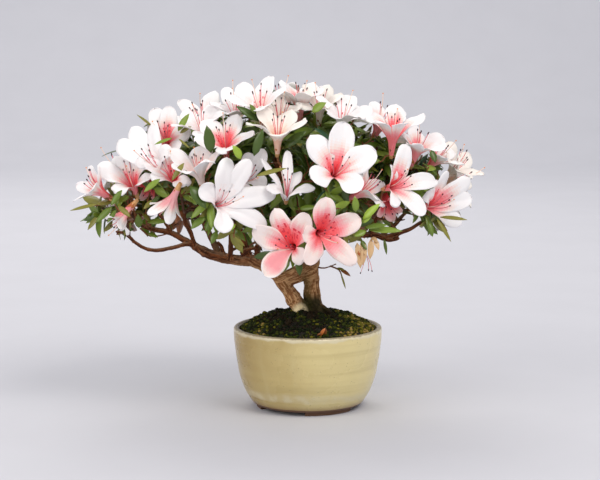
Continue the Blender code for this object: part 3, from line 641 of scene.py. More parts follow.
# %% Limbs
LIMBS = {
    "trunk_left": (((-4, -4, 84), (-4.5, -4, 97), (-14, -6, 111), (-24, -8, 126),
                    (-34, -10, 139), (-47, -14, 147), (-60, -18, 153)), 7.4, 5.4),
    "trunk_right": (((9, 5, 84), (8, 4, 96), (4.5, 4, 108), (3.5, 4, 124),
                     (3.5, 4, 141), (5, 5, 156), (6, 5, 163)), 9.6, 6.0),
    "trunk_bridge": (((-22, -7.5, 127), (-10, -3, 130), (3, 3, 134)), 3.4, 3.2),
    "bough_left": (((-55, -16, 151), (-72, -20, 152), (-90, -24, 156), (-101, -26, 160),
                    (-112, -28, 167)), 5.2, 4.0),
    "bough_far_left": (((-109, -27, 165), (-122, -28, 173), (-135, -28, 180), (-149, -26, 183),
                        (-163, -24, 186), (-171, -22, 193)), 3.6, 2.0),
    "bough_low_left": (((-112, -27, 168), (-121, -31, 169), (-135, -36, 166), (-149, -38, 164),
                        (-158, -38, 165)), 2.5, 2.0),
    "bough_low_left_tip": (((-158.3, -38, 165.2), (-164, -39, 168), (-171, -40, 173),
                            (-176, -42, 179)), 1.9, 1.6),
    "bough_left_high": (((-136, -28, 180), (-140, -29, 190), (-148, -31, 203), (-150, -32, 214)),
                        2.3, 1.8),
    "bough_left_front": (((-111, -28, 166), (-116, -32, 180), (-121, -38, 192), (-121, -46, 203)),
                         2.6, 1.8),
    "bough_front_left": (((-78, -21, 153), (-76, -33, 168), (-76, -46, 184)), 2.8, 2.0),
    "bough_top_left": (((-58, -17, 152), (-66, -15, 176), (-74, -16, 204), (-82, -22, 236)),
                       4.2, 2.2),
    "bough_back_left": (((-88, -22, 156), (-96, 4, 168), (-108, 26, 186), (-122, 40, 204)),
                        3.8, 2.2),
    "bough_back": (((-52, -14, 149), (-50, 16, 160), (-48, 42, 178), (-46, 58, 196)), 3.8, 2.2),
    "bough_top": (((4, 5, 157), (-3, 8, 184), (-14, 4, 210), (-28, -2, 236), (-34, -4, 256)),
                  5.0, 2.2),
    "bough_back_top": (((-14, 5, 211), (-24, 20, 226), (-34, 36, 246)), 3.0, 2.0),
    "bough_front": (((4, 4, 149), (1, -18, 158), (-3, -38, 168), (-6, -56, 180)), 3.4, 2.0),
    "bough_front_high": (((-4, 7, 187), (-9, -18, 200), (-14, -38, 214)), 3.0, 2.0),
    "bough_top_right": (((6, 5, 160), (14, 0, 190), (22, -8, 216), (27, -16, 238)), 3.8, 2.2),
    "bough_right": (((5, 5, 158), (22, 0, 166), (44, -10, 175), (64, -12, 176.5),
                     (76, -12, 173)), 4.4, 3.0),
    "bough_far_right": (((75, -12, 173), (87, -12, 177), (101, -12, 182), (116, -10, 190)),
                        2.8, 1.8),
    "bough_right_front": (((50, -11, 175.5), (58, -28, 185), (64, -44, 198)), 2.5, 1.8),
    "bough_right_high": (((63, -12, 176.5), (70, -14, 200), (78, -18, 226)), 2.7, 1.8),
    "bough_back_right": (((6, 5, 160), (20, 26, 174), (34, 44, 192), (42, 54, 206)), 3.6, 2.0),
    "bough_far_back": (((72, -12, 174), (86, 10, 182), (102, 30, 196)), 2.7, 1.8),
}
ROOTS = (((-4.5, -4, 103), (-13, -10, 95), (-21, -15, 91)),
         ((-4.5, -4, 103), (-12, 4, 95), (-17, 10, 91)),
         ((8, 4, 104), (18, 0, 96), (29, -5, 91.5)),
         ((8, 4, 104), (12, -6, 96), (16, -14, 91.5)),
         ((8, 4, 104), (10, 14, 96), (13, 24, 91.5)))
ROOT_RADII = (5.0, 2.4)
SPURS = ((((76, -12, 173), (82, -14, 171), (88, -15, 172), (91, -15, 174)), 2.8, 1.5),
         (((84, -14, 171), (88, -17, 175), (92, -17, 178)), 1.5, 1.0),
         (((-171, -40, 172), (-176, -41, 178), (-182, -41, 182), (-189, -42, 183)), 1.8, 1.2),
         (((-50, -16, 155), (-52, -20, 163), (-50, -22, 168)), 2.6, 1.5),
         (((-84, -22, 158), (-86, -26, 166), (-90, -27, 171)), 2.4, 1.4),
         (((-17, -9, 113), (-12, -12, 105), (-8, -14, 99)), 7.0, 6.2),
         (((3, 1, 144), (-8, -5, 140), (-18, -8, 136), (-28, -9, 132)), 5.8, 4.8),
         (((-66, -20, 158), (-60, -24, 163), (-52, -26, 165)), 3.0, 1.8),
         (((13, 1, 103), (20, -3, 98.5), (28, -8, 94)), 2.6, 1.6))
STOUTER = {"trunk_left": 1.12, "trunk_bridge": 1.2, "trunk_right": 1.06, "bough_left": 1.14}
TAPER = 0.8
FLARE = 5.0
FLARE_SHARE = 0.32
WANDER = 0.9              # how far a limb strays from its line
WANDER_SEED = 9           # or the limbs would stray a little differently each time
LUMPS = 0.2               # of its radius
BEAT = 9.0                # millimetres along a limb for one swell of the noise


def round_curve(name, resolution):
    """An empty curve whose lines are round, with a radius of their own at each point."""
    curve = bpy.data.curves.new(name, "CURVE")
    curve.dimensions = "3D"
    curve.bevel_depth = 1.0
    curve.bevel_resolution = resolution
    curve.use_fill_caps = True
    return curve


def add_tube(curve, points, radii, number=0):
    """Add a tube to a curve, with its radii in millimetres and its finish by number."""
    spline = curve.splines.new("POLY")
    spline.points.add(len(points) - 1)
    spline.material_index = number
    for spot, point, radius in zip(spline.points, points, radii):
        spot.co = (*point, 1.0)
        spot.radius = radius * MM


def limb_radius(name, share, radius, end_radius):
    """A limb's radius at a share of its length, with the flare of a trunk's foot."""
    wide = radius + (end_radius - radius) * share ** TAPER
    if name == "trunk_right":
        wide += FLARE * max(0.0, 1 - share / FLARE_SHARE) ** 1.5
    return wide * STOUTER.get(name, 1.0)


noise.seed_set(WANDER_SEED)
samples = []              # place, direction, radius and distance along, all over the wood
limb_lines = [(name, *facts) for name, facts in LIMBS.items()]
limb_lines += [("root", places, *ROOT_RADII) for places in ROOTS]
limb_lines += [("spur", *facts) for facts in SPURS]
curve = round_curve("limbs", 5)
for k, (name, places, radius, end_radius) in enumerate(limb_lines):
    line = smooth_line([at(*place) for place in places], 8)
    along = 0.0
    for i, point in enumerate(line):
        share = i / (len(line) - 1)
        following = line[min(i + 1, len(line) - 1)]
        wide = limb_radius(name, share, radius, end_radius)
        beat = along / MM / BEAT
        wide *= 1 + LUMPS * noise.noise(Vector((beat, k * 3.7, 0)))
        stray = noise.noise_vector(Vector((beat * 0.8, k * 5.3, 9))) * WANDER * MM
        step = (following - line[max(i - 1, 0)]).normalized()
        samples.append((point + stray * math.sin(math.pi * share), step, wide, along))
        along += (following - point).length
    add_tube(curve, *zip(*((point, wide) for point, _, wide, _ in samples[-len(line):])))
print(len(limb_lines), "tubes,", len(samples), "places along them")

# %% [markdown]
# ### Bark
#
# Azalea bark is thin, with long shallow furrows that follow the limb and twist a
# little, and knuckles where old shoots were cut. For each point of the skin, the
# nearest limb says which way its furrows run. Noise that is slow along the limb and
# quick round it gives the furrows, and the same number is kept on the mesh, so that
# the finish can darken the furrows, partly as painted shade, and pale the ridges.

# %% Wood
WOOD_VOXEL = 0.75
WOOD_GROUND = 93.0        # the level of the flat cut under the trunks
BARK_DEPTH = 0.11         # of a limb's radius
KNUCKLES = 210
KNUCKLE_PLACE = 0.55      # of the limb's radius, from its centre line
draw = random.Random(9)
bm = taken_apart(put("limbs", curve))
for _ in range(KNUCKLES):
    point, step, wide, _ = draw.choice(samples)
    out = step.orthogonal().normalized()
    out.rotate(Matrix.Rotation(draw.uniform(0, math.tau), 3, step))
    size = wide * draw.uniform(0.4, 0.75) * (0.7 if wide > 5 else 1.0)
    made = bmesh.ops.create_icosphere(bm, subdivisions=2, radius=size * MM)
    bmesh.ops.translate(bm, vec=point + out * wide * KNUCKLE_PLACE * MM, verts=made["verts"])
rough = put("wood_rough", mesh_of("wood_rough", bm))
skin = rough.modifiers.new("skin", "REMESH")
skin.mode = "VOXEL"
skin.voxel_size = WOOD_VOXEL * MM
bm = taken_apart(rough)
bmesh.ops.smooth_vert(bm, verts=bm.verts, factor=0.5, use_axis_x=True, use_axis_y=True, use_axis_z=True)
cut = bmesh.ops.bisect_plane(bm, geom=bm.verts[:] + bm.edges[:] + bm.faces[:],
                             plane_co=at(0, 0, WOOD_GROUND), plane_no=(0, 0, -1), clear_outer=True)
bmesh.ops.holes_fill(bm, edges=[e for e in cut["geom_cut"] if isinstance(e, bmesh.types.BMEdge)])
bm.normal_update()
tree = KDTree(len(samples))
for i, sample in enumerate(samples):
    tree.insert(sample[0], i)
tree.balance()
furrow = bm.verts.layers.float.new("furrow")
for vert in bm.verts:
    _, index, _ = tree.find(vert.co)
    point, step, wide, along = samples[index]
    out = vert.co - point
    out -= step * out.dot(step)
    here = along + (vert.co - point).dot(step)
    round_limb = out.normalized() * (1.0 + wide * 0.14)
    beat = round_limb + step * (here / MM / 26.0) + Vector((0, 0, wide))
    ridge = 1 - abs(noise.noise(beat * 1.7)) * 2.4
    grain = noise.noise(round_limb * 4.0 + step * (here / MM / 9.0))
    vert[furrow] = 0.65 * ridge + 0.5 * grain
    lump = noise.noise(vert.co / MM / 5.5)
    vert.co += vert.normal * (0.65 * ridge + 0.35 * grain + 0.7 * lump - 0.35) * wide * BARK_DEPTH * MM
print("wood skin of", len(bm.faces), "faces")

# %% [markdown]
# ### The bark's colours
#
# The bark is dark red-brown in its furrows and paler on its ridges: partly its own
# colour, partly painted shade in the furrows. Where the skin faces up it carries a
# painted highlight, and where it faces down painted shade. The trunks are tan, the
# right one's foot is damp and mossy, and one sawn stub shows fresh wood. A painted
# image would need a map of the skin, so the height, the side, the way the skin faces
# and the number kept for the furrows say where each colour goes.

# %% Bark finish
STUB_END = (-6.0, -17.0, 98.0)
bark = Finish("bark", (116, 80, 56), 0.85, {"Specular IOR Level": 0.25})
spot = bark.place()
height, side = bark.along("Z"), bark.along("X")
ridge = bark.attribute("furrow")
blotch = bark.noise(spot, 90.0, 4.0)
fine = bark.noise(spot, 520.0, 4.0)
# Darker in the furrows and paler on the ridges: partly the bark's own colour, partly painted shade in the
# furrows.
bark.colour = bark.mix(bark.step(ridge + fine * 0.5, 0.1, 0.95), (50, 24, 12), (136, 78, 42))
bark.layer(bark.step(blotch, 0.5, 0.7) * bark.step(ridge, 0.25, 0.7) * 0.6, (182, 138, 98))
top = bark.node("ShaderNodeNewGeometry", {}, {}, "Normal")
top = bark.node("ShaderNodeSeparateXYZ", {}, {0: top}, "Z") + blotch * 0.5
# Painted highlight where the skin faces up.
bark.layer(bark.step(top, 0.3, 1.2) * 0.55, (190, 152, 120))
# Painted shade where the skin faces down.
bark.layer((1.0 - bark.step(top, -0.5, 0.5)) * 0.7, (70, 34, 16))
# The trunks are tan low down, again darker in their furrows: partly their own colour, partly painted shade.
trunk = 1.0 - bark.step(height, 138.0, 158.0)
bark.layer(trunk * 0.75, bark.mix(bark.step(ridge, 0.1, 0.8), (150, 102, 62), (230, 184, 132)))
damp = (1.0 - bark.step(height + blotch * 16.0, 114.0, 126.0)) * bark.step(side, -9.0, -2.0)
damp = damp * (1.0 - bark.step(side + blotch * 6.0, 14.0, 19.0) * bark.step(height, 101.0, 106.0) * 0.7)
bark.layer(damp * 0.95, bark.mix(fine, (14, 16, 8), (48, 50, 20)))
green = (1.0 - bark.step(height + blotch * 20.0, 134.0, 160.0)) * (1.0 - bark.step(side, 0.0, 7.0))
bark.layer(green * bark.step(side, -9.0, -4.0) * 0.5, (78, 76, 36))
offsets = [bark.along(axis) - middle for axis, middle in zip("XYZ", STUB_END)]
across, away, rise = [offset * offset for offset in offsets]
bark.layer((1.0 - bark.step(across + away + rise, 40.0, 150.0)) * 0.9,
           bark.mix(fine, (236, 208, 150), (255, 244, 206)))
bark.feed("Roughness", 0.95 - ridge * 0.15)
bark.bump(fine + blotch * 0.4, 0.35)
finished("wood", bm, [bark], WOOD_NODES)

# %% [markdown]
# ## How the crown is laid out
#
# The crown is a flattened dome. Each bough's tip carries one mass of foliage that is
# grown round a heart and keeps to its own space. The blooms at the front are placed
# one by one, as in the photograph, and the rest are spread over the dome by the
# golden angle, the rule that sunflowers use to fill a disc evenly.

# %% Masses and dome
MASSES = {
    "mass_far_left": ("bough_far_left", (-184, -30, 222)),
    "mass_low_left": ("bough_low_left_tip", (-176, -62, 198)),
    "mass_left_high": ("bough_left_high", (-146, -38, 248)),
    "mass_left_front": ("bough_left_front", (-122, -74, 222)),
    "mass_front_left": ("bough_front_left", (-74, -76, 204)),
    "mass_top_left": ("bough_top_left", (-90, -36, 270)),
    "mass_back_left": ("bough_back_left", (-140, 54, 226)),
    "mass_back": ("bough_back", (-46, 80, 218)),
    "mass_top": ("bough_top", (-38, -22, 286)),
    "mass_back_top": ("bough_back_top", (-50, 48, 274)),
    "mass_front": ("bough_front", (-4, -82, 186)),
    "mass_front_high": ("bough_front_high", (-22, -74, 236)),
    "mass_top_right": ("bough_top_right", (32, -36, 266)),
    "mass_right_front": ("bough_right_front", (70, -66, 214)),
    "mass_right_high": ("bough_right_high", (88, -24, 252)),
    "mass_far_right": ("bough_far_right", (132, -20, 208)),
    "mass_back_right": ("bough_back_right", (46, 66, 234)),
    "mass_far_back": ("bough_far_back", (116, 46, 216)),
}
DOME_CENTRE = (-33, 0, 196)
DOME_REACH = (174, 114, 120)
BOUGH_FORKS = 0.4         # share of a bough past which twigs may leave it


def dome_level(point):
    """0 at the dome's centre and 1 on its surface."""
    offset = (point - at(*DOME_CENTRE)) / MM
    return Vector([offset[i] / DOME_REACH[i] for i in range(3)]).length


def outward(point):
    """The direction away from the dome's surface at a point."""
    offset = (point - at(*DOME_CENTRE)) / MM
    return Vector([offset[i] / DOME_REACH[i] ** 2 for i in range(3)]).normalized()


class Mass:
    """One mass of foliage: where it starts, its blooms, and where twigs can branch."""

    def __init__(self, name, bough, heart):
        places, _, end_radius = LIMBS[bough]
        self.name = name
        self.heart = at(*heart)
        self.tip = at(*places[-1])
        self.aim = (self.tip - at(*places[-2])).normalized()
        self.blooms = []
        self.sprays = []
        self.forks = [(self.tip, end_radius, 0)]


masses = [Mass(name, *facts) for name, facts in MASSES.items()]


def owner(point):
    """The mass whose space a point lies in."""
    return min(masses, key=lambda mass: (point - mass.heart).length)


for name, (places, _, end_radius) in LIMBS.items():
    line = smooth_line([at(*place) for place in places], 3)
    if not name.startswith("trunk"):
        for point in line[int(len(line) * BOUGH_FORKS)::2]:
            owner(point).forks.append((point, end_radius, 0))
print(len(masses), "masses and", sum(len(mass.forks) for mass in masses), "places for twigs to start")

# %% [markdown]
# ### Reading places off the photograph
#
# Each point of the photograph, given in its pixels, is a straight line of sight from
# the camera. Where the line meets a plane that is known, such as the plane of a
# bloom's petal tips, it gives a place in space. In that way the petals of the front
# blooms point the way they do in the picture, and single leaves stand where they do.

# %% Lines of sight
PHOTO_SIZE = (600, 480)
VIEW_SCALE = LENS / SENSOR * PHOTO_SIZE[0]
VIEW_SLOPE = math.tan(math.radians(CAMERA_PITCH))


def sight(u, v):
    """The direction in which the camera sees a point of the photograph."""
    down = math.radians(CAMERA_PITCH)
    right, up = (u - PHOTO_SIZE[0] / 2) / VIEW_SCALE, (PHOTO_SIZE[1] / 2 - v) / VIEW_SCALE
    return Vector((right, math.cos(down) + up * math.sin(down), up * math.cos(down) - math.sin(down)))


def seen(u, v, depth):
    """The place that the camera sees at a point of the photograph, at a depth along Y."""
    ray = sight(u, v)
    return at(*CAMERA_PLACE) + ray * ((depth - CAMERA_PLACE[1]) / ray.y * MM)


print("the middle of the photograph is", [round(c / MM) for c in seen(300, 240, 0)])

# %% [markdown]
# ### Where the blooms stand
#
# Each entry gives the bloom's throat, which way it faces (degrees to the right and
# up), the turn of its first petal, its petals' length, how strong its salmon throat
# is and how far it reaches, how wide the bloom opens, and the petals' width. A
# strength over one tints the whole bloom, and one below zero makes it cream. Open
# blooms at the front also list where the photograph shows their petals' tips, and how
# much of its width shows where a petal stands edge on. Blooms at the back, which the
# photograph doesn't show, follow the golden angle over the dome and keep apart.

# %% Blooms
BLOOMS = (
    ((-80, -110, 219), 30, 12, 8, 43, 0.10, 0.30, 66, 0.235,
     ((225, 157), (251, 160), (277, 191), (267, 226), (224, 233), (200, 186))),
    ((-19, -105, 177), -22, 8, -20, 37, 1.2, 0.5, 64, 0.285,
     ((275, 208), (311, 216), (303, 260), (264, 275), (252, 231))),
    ((14, -119, 190), 20, -2, -8, 37, 1.26, 0.52, 66, 0.285,
     ((325, 197), (360, 217), (356, 264), (307, 265), (303, 235))),
    ((27, -104, 249), 12, 20, 14, 41, 1.0, 0.36, 68, 0.30,
     ((346, 122), (376, 152), (362, 190), (311, 180), (309, 136))),
    ((-20, -98, 234), 4, 44, 0, 30, 0.0, 0.30, 60, 0.20,
     ((290, 150), (261, 159, 0.6), (267, 187), (315, 189, 0.8), (299, 171))),
    ((86, -90, 234), 34, 14, 12, 38, 0.95, 0.36, 66, 0.25,
     ((408, 145), (435, 178), (426, 213), (397, 207, 0.6), (391, 165, 0.5))),
    ((126, -52, 210), 44, 8, 6, 36, 0.9, 0.42, 60, 0.26,
     ((447, 171), (470, 176), (474, 200), (462, 224), (428, 192))),
    ((56, -80, 229), 74, 30, 20, 30, 0.85, 0.45, 46, 0.24, ()),
    ((82, -58, 282), 10, 74, 20, 38, 1.0, 0.55, 32, 0.30, ()),
    ((109, -38, 268), 40, 62, 24, 32, 0.9, 0.42, 46, 0.30, ()),
    ((130, -12, 256), 70, 52, 32, 30, 0.9, 0.42, 50, 0.28, ()),
    ((152, 8, 229), 84, 8, 32, 34, -1.0, 0.35, 56, 0.27, ()),
    ((34, -48, 298), 24, 66, 30, 35, 0.05, 0.30, 44, 0.27, ()),
    ((-7, -22, 312), 14, 74, 40, 34, 0.85, 0.42, 42, 0.27, ()),
    ((-47, -54, 308), -14, 62, 8, 38, 0.45, 0.40, 42, 0.30, ()),
    ((-80, -76, 276), -6, 52, 24, 35, 0.95, 0.42, 50, 0.29, ()),
    ((-105, -46, 290), -26, 62, 10, 33, 0.2, 0.30, 52, 0.28, ()),
    ((-140, -40, 276), -8, 34, 5, 34, 0.9, 0.42, 62, 0.28,
     ((171, 106), (191, 130), (176, 152), (148, 152), (152, 110))),
    ((-150, -70, 254), -40, 34, 0, 35, 0.15, 0.30, 60, 0.27,
     ((150, 122), (170, 146), (137, 160), (115, 146), (131, 127))),
    ((-173, -50, 236), -18, 50, -24, 34, 0.95, 0.40, 54, 0.28,
     ((111, 153), (141, 158), (151, 179), (114, 190), (96, 166))),
    ((-209, -48, 228), -72, 36, 30, 29, 0.9, 0.45, 44, 0.24, ()),
    ((-105, -88, 249), -30, 66, 50, 38, 0.35, 0.5, 42, 0.29, ()),
    ((-183, -62, 197), -66, -46, 30, 23, 0.75, 0.55, 30, 0.26, ()),
    ((-133, -84, 214), -130, -56, 12, 27, 0.75, 0.55, 34, 0.26, ()),
    ((-157, -16, 222), -8, -36, 12, 19, 1.3, 0.8, 40, 0.26, ()),
    ((79, -36, 206), 10, -40, 20, 20, 1.4, 0.7, 40, 0.28, ()),
    ((-27, -44, 298), 16, 66, 10, 30, -0.8, 0.30, 36, 0.26, ()),
    ((-29, -84, 285), 4, 70, 36, 36, -1.0, 0.35, 46, 0.28, ()),
    ((-132, -74, 244), -20, 40, 20, 31, 1.0, 0.40, 56, 0.28,
     ((168, 147), (190, 158), (186, 184), (150, 176), (145, 160))),
    ((150, 2, 244), 60, 44, 10, 32, -0.6, 0.30, 54, 0.28, ()),
    ((12, -26, 308), 6, 62, 22, 31, -0.5, 0.30, 44, 0.27, ()),
    ((-72, -34, 304), -12, 66, 40, 31, 0.1, 0.30, 42, 0.27, ()),
    ((-57, -80, 240), 20, 12, 12, 28, 0.05, 0.30, 62, 0.26,
     ((266, 150), (249, 153), (240, 172), (246, 188), (261, 182))),
    ((-108, 4, 294), -24, 46, 12, 32, 0.2, 0.35, 56, 0.28, ()),
)
BLOOM_DEPTH = 12.0
BACK_BLOOM_TRIES = 150
BACK_BLOOM_SPACING = 40.0
BACK_BLOOM_FRONT = -12.0
BACK_BLOOM_LEFT = -200.0
BACK_BLOOM_LOWEST = 200.5
BACK_BLOOM_HEIGHTS = (0.02, 0.95)
BACK_BLOOM_TINTS = (-0.7, 0.1, 0.4, 0.85, 0.95, 1.0)
GOLDEN_ANGLE = math.pi * (3 - math.sqrt(5))
PETALS = 5


class Bloom:
    """A bloom's place and looks. Its frame's Z axis is the way that it faces."""

    def __init__(self, throat, facing, up, turn, length, tint, fade, flare, width, tips=()):
        a, e = math.radians(facing), math.radians(up)
        self.way = Vector((math.sin(a) * math.cos(e), -math.cos(a) * math.cos(e), math.sin(e)))
        side = Vector((math.cos(a), math.sin(a), 0.0))
        self.frame = Matrix((side, self.way.cross(side), self.way)).transposed().to_4x4()
        self.frame.translation = throat
        self.inverse = self.frame.inverted()
        self.throat = throat
        self.turn = math.radians(90 - turn)
        self.length, self.width, self.flare = length, width, flare
        self.tint, self.fade = tint, fade
        self.tips = tips
        self.reach = 0.0  # of its longest petal, once they are made


blooms = [Bloom(at(*throat), *facts) for throat, *facts in BLOOMS]
draw = random.Random(13)
for i in range(BACK_BLOOM_TRIES):
    low, high = BACK_BLOOM_HEIGHTS
    level = low + (high - low) * (i + 0.5) / BACK_BLOOM_TRIES
    around = i * GOLDEN_ANGLE
    ring = math.sqrt(1 - level ** 2)
    reach = draw.uniform(0.95, 1.01)
    point = at(DOME_CENTRE[0] + DOME_REACH[0] * ring * math.cos(around) * reach,
               DOME_CENTRE[1] + DOME_REACH[1] * ring * math.sin(around) * reach,
               DOME_CENTRE[2] + DOME_REACH[2] * level * reach)
    near = min((point - bloom.throat).length for bloom in blooms)
    if point.x < BACK_BLOOM_LEFT * MM or point.y < BACK_BLOOM_FRONT * MM or point.z < BACK_BLOOM_LOWEST * MM:
        continue
    if near > BACK_BLOOM_SPACING * MM:
        way = outward(point)
        facing = math.degrees(math.atan2(way.x, -way.y)) + draw.uniform(-14, 14)
        up = math.degrees(math.asin(way.z)) + draw.uniform(-8, 12)
        blooms.append(Bloom(point, facing, up, draw.uniform(0, 72), draw.uniform(31, 37),
                            draw.choice(BACK_BLOOM_TINTS), draw.uniform(0.3, 0.45),
                            draw.uniform(46, 66), draw.uniform(0.25, 0.3)))
for bloom in blooms:
    owner(bloom.throat - bloom.way * BLOOM_DEPTH * MM).blooms.append(bloom)
print(len(BLOOMS), "blooms placed by hand and", len(blooms) - len(BLOOMS), "by rule")

# %% [markdown]
# ### A petal
#
# The petals of an azalea share a funnel and part about a quarter of the way out.
# Each petal here starts as a flat grid: its rows run from the funnel's foot to the
# tip, its columns across. The grid is then bent along the funnel's curve, drawn in to
# the petal's outline, cupped, twisted, creased along the middle and waved at the
# edge. The rows lie closer together near the tip, where the outline turns fastest.

# %% Petal shape
TUBE_ROWS = 4
BLADE_ROWS = 20
PETAL_COLUMNS = 12
TUBE_START = (1.8, -27.0)
TUBE_LENGTH = 15.0
MOUTH_LENGTH = 14.0
MOUTH_REACH = 13.0        # how far out from the axis the mouth's curve has come
FUNNEL_LEAN = 7.0         # degrees from the axis
CURL_START = 0.4          # share of the blade where its tip begins to curl
CURL_FULL = 0.46          # what the curl's formula comes to at the tip
ROW_PARTS = 4             # short straight pieces from row to row
PETAL_THICKNESS = 0.35
WIDEST = 0.6              # share of the petal's length
CLAW = 0.40               # the width at its foot, where 1 is the widest
SEEN_LENGTHS = (20.0, 56.0)


def petal_rows(length, flare, curl):
    """Radius, height, steepness and share of the petal's length, for each row."""
    blade = MOUTH_LENGTH + length - MOUTH_REACH
    ends = [TUBE_LENGTH * i / TUBE_ROWS for i in range(TUBE_ROWS)]
    ends += [TUBE_LENGTH + blade * (1 - (1 - i / BLADE_ROWS) ** 1.15) for i in range(BLADE_ROWS + 1)]
    radius, height = TUBE_START
    rows = []
    for start, end in zip([0.0] + ends, ends):
        for part in range(ROW_PARTS):
            s = start + (end - start) * (part + 0.5) / ROW_PARTS
            parting = smoothly((s - TUBE_LENGTH + 3) / (MOUTH_LENGTH + 3))
            slope = math.radians(FUNNEL_LEAN + (flare - FUNNEL_LEAN) * parting)
            past = max(0.0, (s - TUBE_LENGTH) / blade - CURL_START)
            slope += math.radians(curl) * past ** 1.5 / CURL_FULL
            radius += math.sin(slope) * (end - start) / ROW_PARTS
            height += math.cos(slope) * (end - start) / ROW_PARTS
        rows.append((radius, height, slope, (end - TUBE_LENGTH) / blade))
    return rows


def petal_outline(share, blunt):
    """Half the petal's width at a share of its length, where 1 is the widest."""
    claw = CLAW + (1 - CLAW) * math.sin(math.pi / 2 * min(share / WIDEST, 1.0)) ** 1.4
    return claw * math.sqrt(max(0.0, 1 - max(0.0, (share - WIDEST) / (1 - WIDEST)) ** blunt))


def petal_aim(bloom, tip, flare, curl):
    """The turn and length of a petal whose tip is seen at a point of the photograph."""
    length = bloom.length
    start = at(*CAMERA_PLACE)
    ray = sight(*tip)
    for _ in range(4):
        radius, height, *_ = petal_rows(length, flare, curl)[-1]
        plane = bloom.throat + bloom.way * height * MM
        point = bloom.inverse @ (start + ray * ((plane - start).dot(bloom.way) / ray.dot(bloom.way)))
        wanted = math.hypot(point.x, point.y) / MM
        length += (wanted - radius) / math.sin(math.radians(flare))
        length = min(max(length, SEEN_LENGTHS[0]), SEEN_LENGTHS[1])
    return math.atan2(point.y, point.x), length


print((TUBE_ROWS + BLADE_ROWS) * PETAL_COLUMNS, "faces on each side of a petal")

# %% [markdown]
# ### Petal colours
#
# A petal is white at its edge and salmon in its throat, and streaks of one run into
# the other. The colour changes from face to face in eighteen small steps, each a
# plain finish, and a little noise along the petal breaks the steps up into streaks.
# The topmost petals have a deeper patch with dark flecks. Some blooms are cream.

# %% Petal finishes
SHADES = 18
WHITE = (252, 249, 251)
BLUSH = (251, 226, 219)
PINK = (253, 160, 166)
SALMON = (252, 74, 80)
CREAM = ((252, 245, 238), (251, 239, 228), (250, 226, 210), (248, 200, 176))
FOOT = (224, 168, 112)
FLECK = (226, 58, 74)


def between(first, second, share):
    """A colour between two."""
    return tuple(a + (b - a) * share for a, b in zip(first, second))


def petal_colour(step):
    """The colour of one step from white to salmon."""
    share = step / (SHADES - 1)
    if share < 0.3:
        return between(WHITE, BLUSH, share / 0.3)
    if share < 0.65:
        return between(BLUSH, PINK, (share - 0.3) / 0.35)
    return between(PINK, SALMON, (share - 0.65) / 0.35)


def petal_slot(bloom, along, across, blotch, key, draw):
    """The finish of a petal's face, by its place along and across the petal."""
    streak = noise.noise(Vector((across * 3.2, along * 1.6, key * 7.3)))
    reach = bloom.fade * (0.55 + 0.45 * blotch)
    fade = 1 - smoothly((along - reach + 0.17 * across ** 2 + 0.12 * streak + 0.25) / 0.54)
    if along < -0.3:
        return SHADES + len(CREAM)
    if bloom.tint < 0:
        return SHADES + min(int(fade * -bloom.tint * 3.2 + draw.random() * 0.4), len(CREAM) - 1)
    if 1.15 < blotch < 2 and 0.6 < fade and 0.08 < along and draw.random() < 0.1 * bloom.tint:
        return SHADES + len(CREAM) + 1
    base = max(bloom.tint - 1.0, 0.0)
    shade = base + (1 - base) * min(bloom.tint, 1.0) * min(0.42 + 0.4 * blotch, 1.0) * fade
    if blotch > 2:
        shade = 0.66 - 0.54 * abs(across) ** 5 - 0.4 * smoothly((along - 0.65) / 0.35)
    return min(max(int((SHADES - 1) * shade + draw.random() * 0.6), 0), SHADES - 1)


PETAL_LIGHT = {"Subsurface Weight": 0.2, "Subsurface Scale": 0.002,
               "Subsurface Radius": (1.0, 0.92, 0.9), "Specular IOR Level": 0.35}
colours = [petal_colour(step) for step in range(SHADES)] + [*CREAM, FOOT, FLECK]
colours = {str(step): colour for step, colour in enumerate(colours)}
petal_finishes = palette("petal_", colours, 0.5, PETAL_LIGHT, (400.0, 0.2, 0.4))
print(len(petal_finishes), "petal finishes")

# %% [markdown]
# ### All the petals
#
# No two petals of the real tree are alike, and copies of one mesh would show, so each
# petal is bent from a grid of its own, with its own curl, cup, twist and wave. It
# leaves the funnel at an even place and swings round to the tip that the photograph
# shows. A wide petal has a blunt tip and a narrow one a pointed tip. At the end the
# thin sheets get a real thickness.


# %% Petals of all blooms
WELD = 0.002              # how near two points are that become one
BLUNTNESS = (0.5, 6.0)    # of a petal's tip: the least, and what its width adds
CREASE = (0.8, 0.2)       # of the petal's middle: its depth and its width


def half_turn(angle):
    """An angle brought to within half a turn of zero."""
    return (angle + math.pi) % math.tau - math.pi


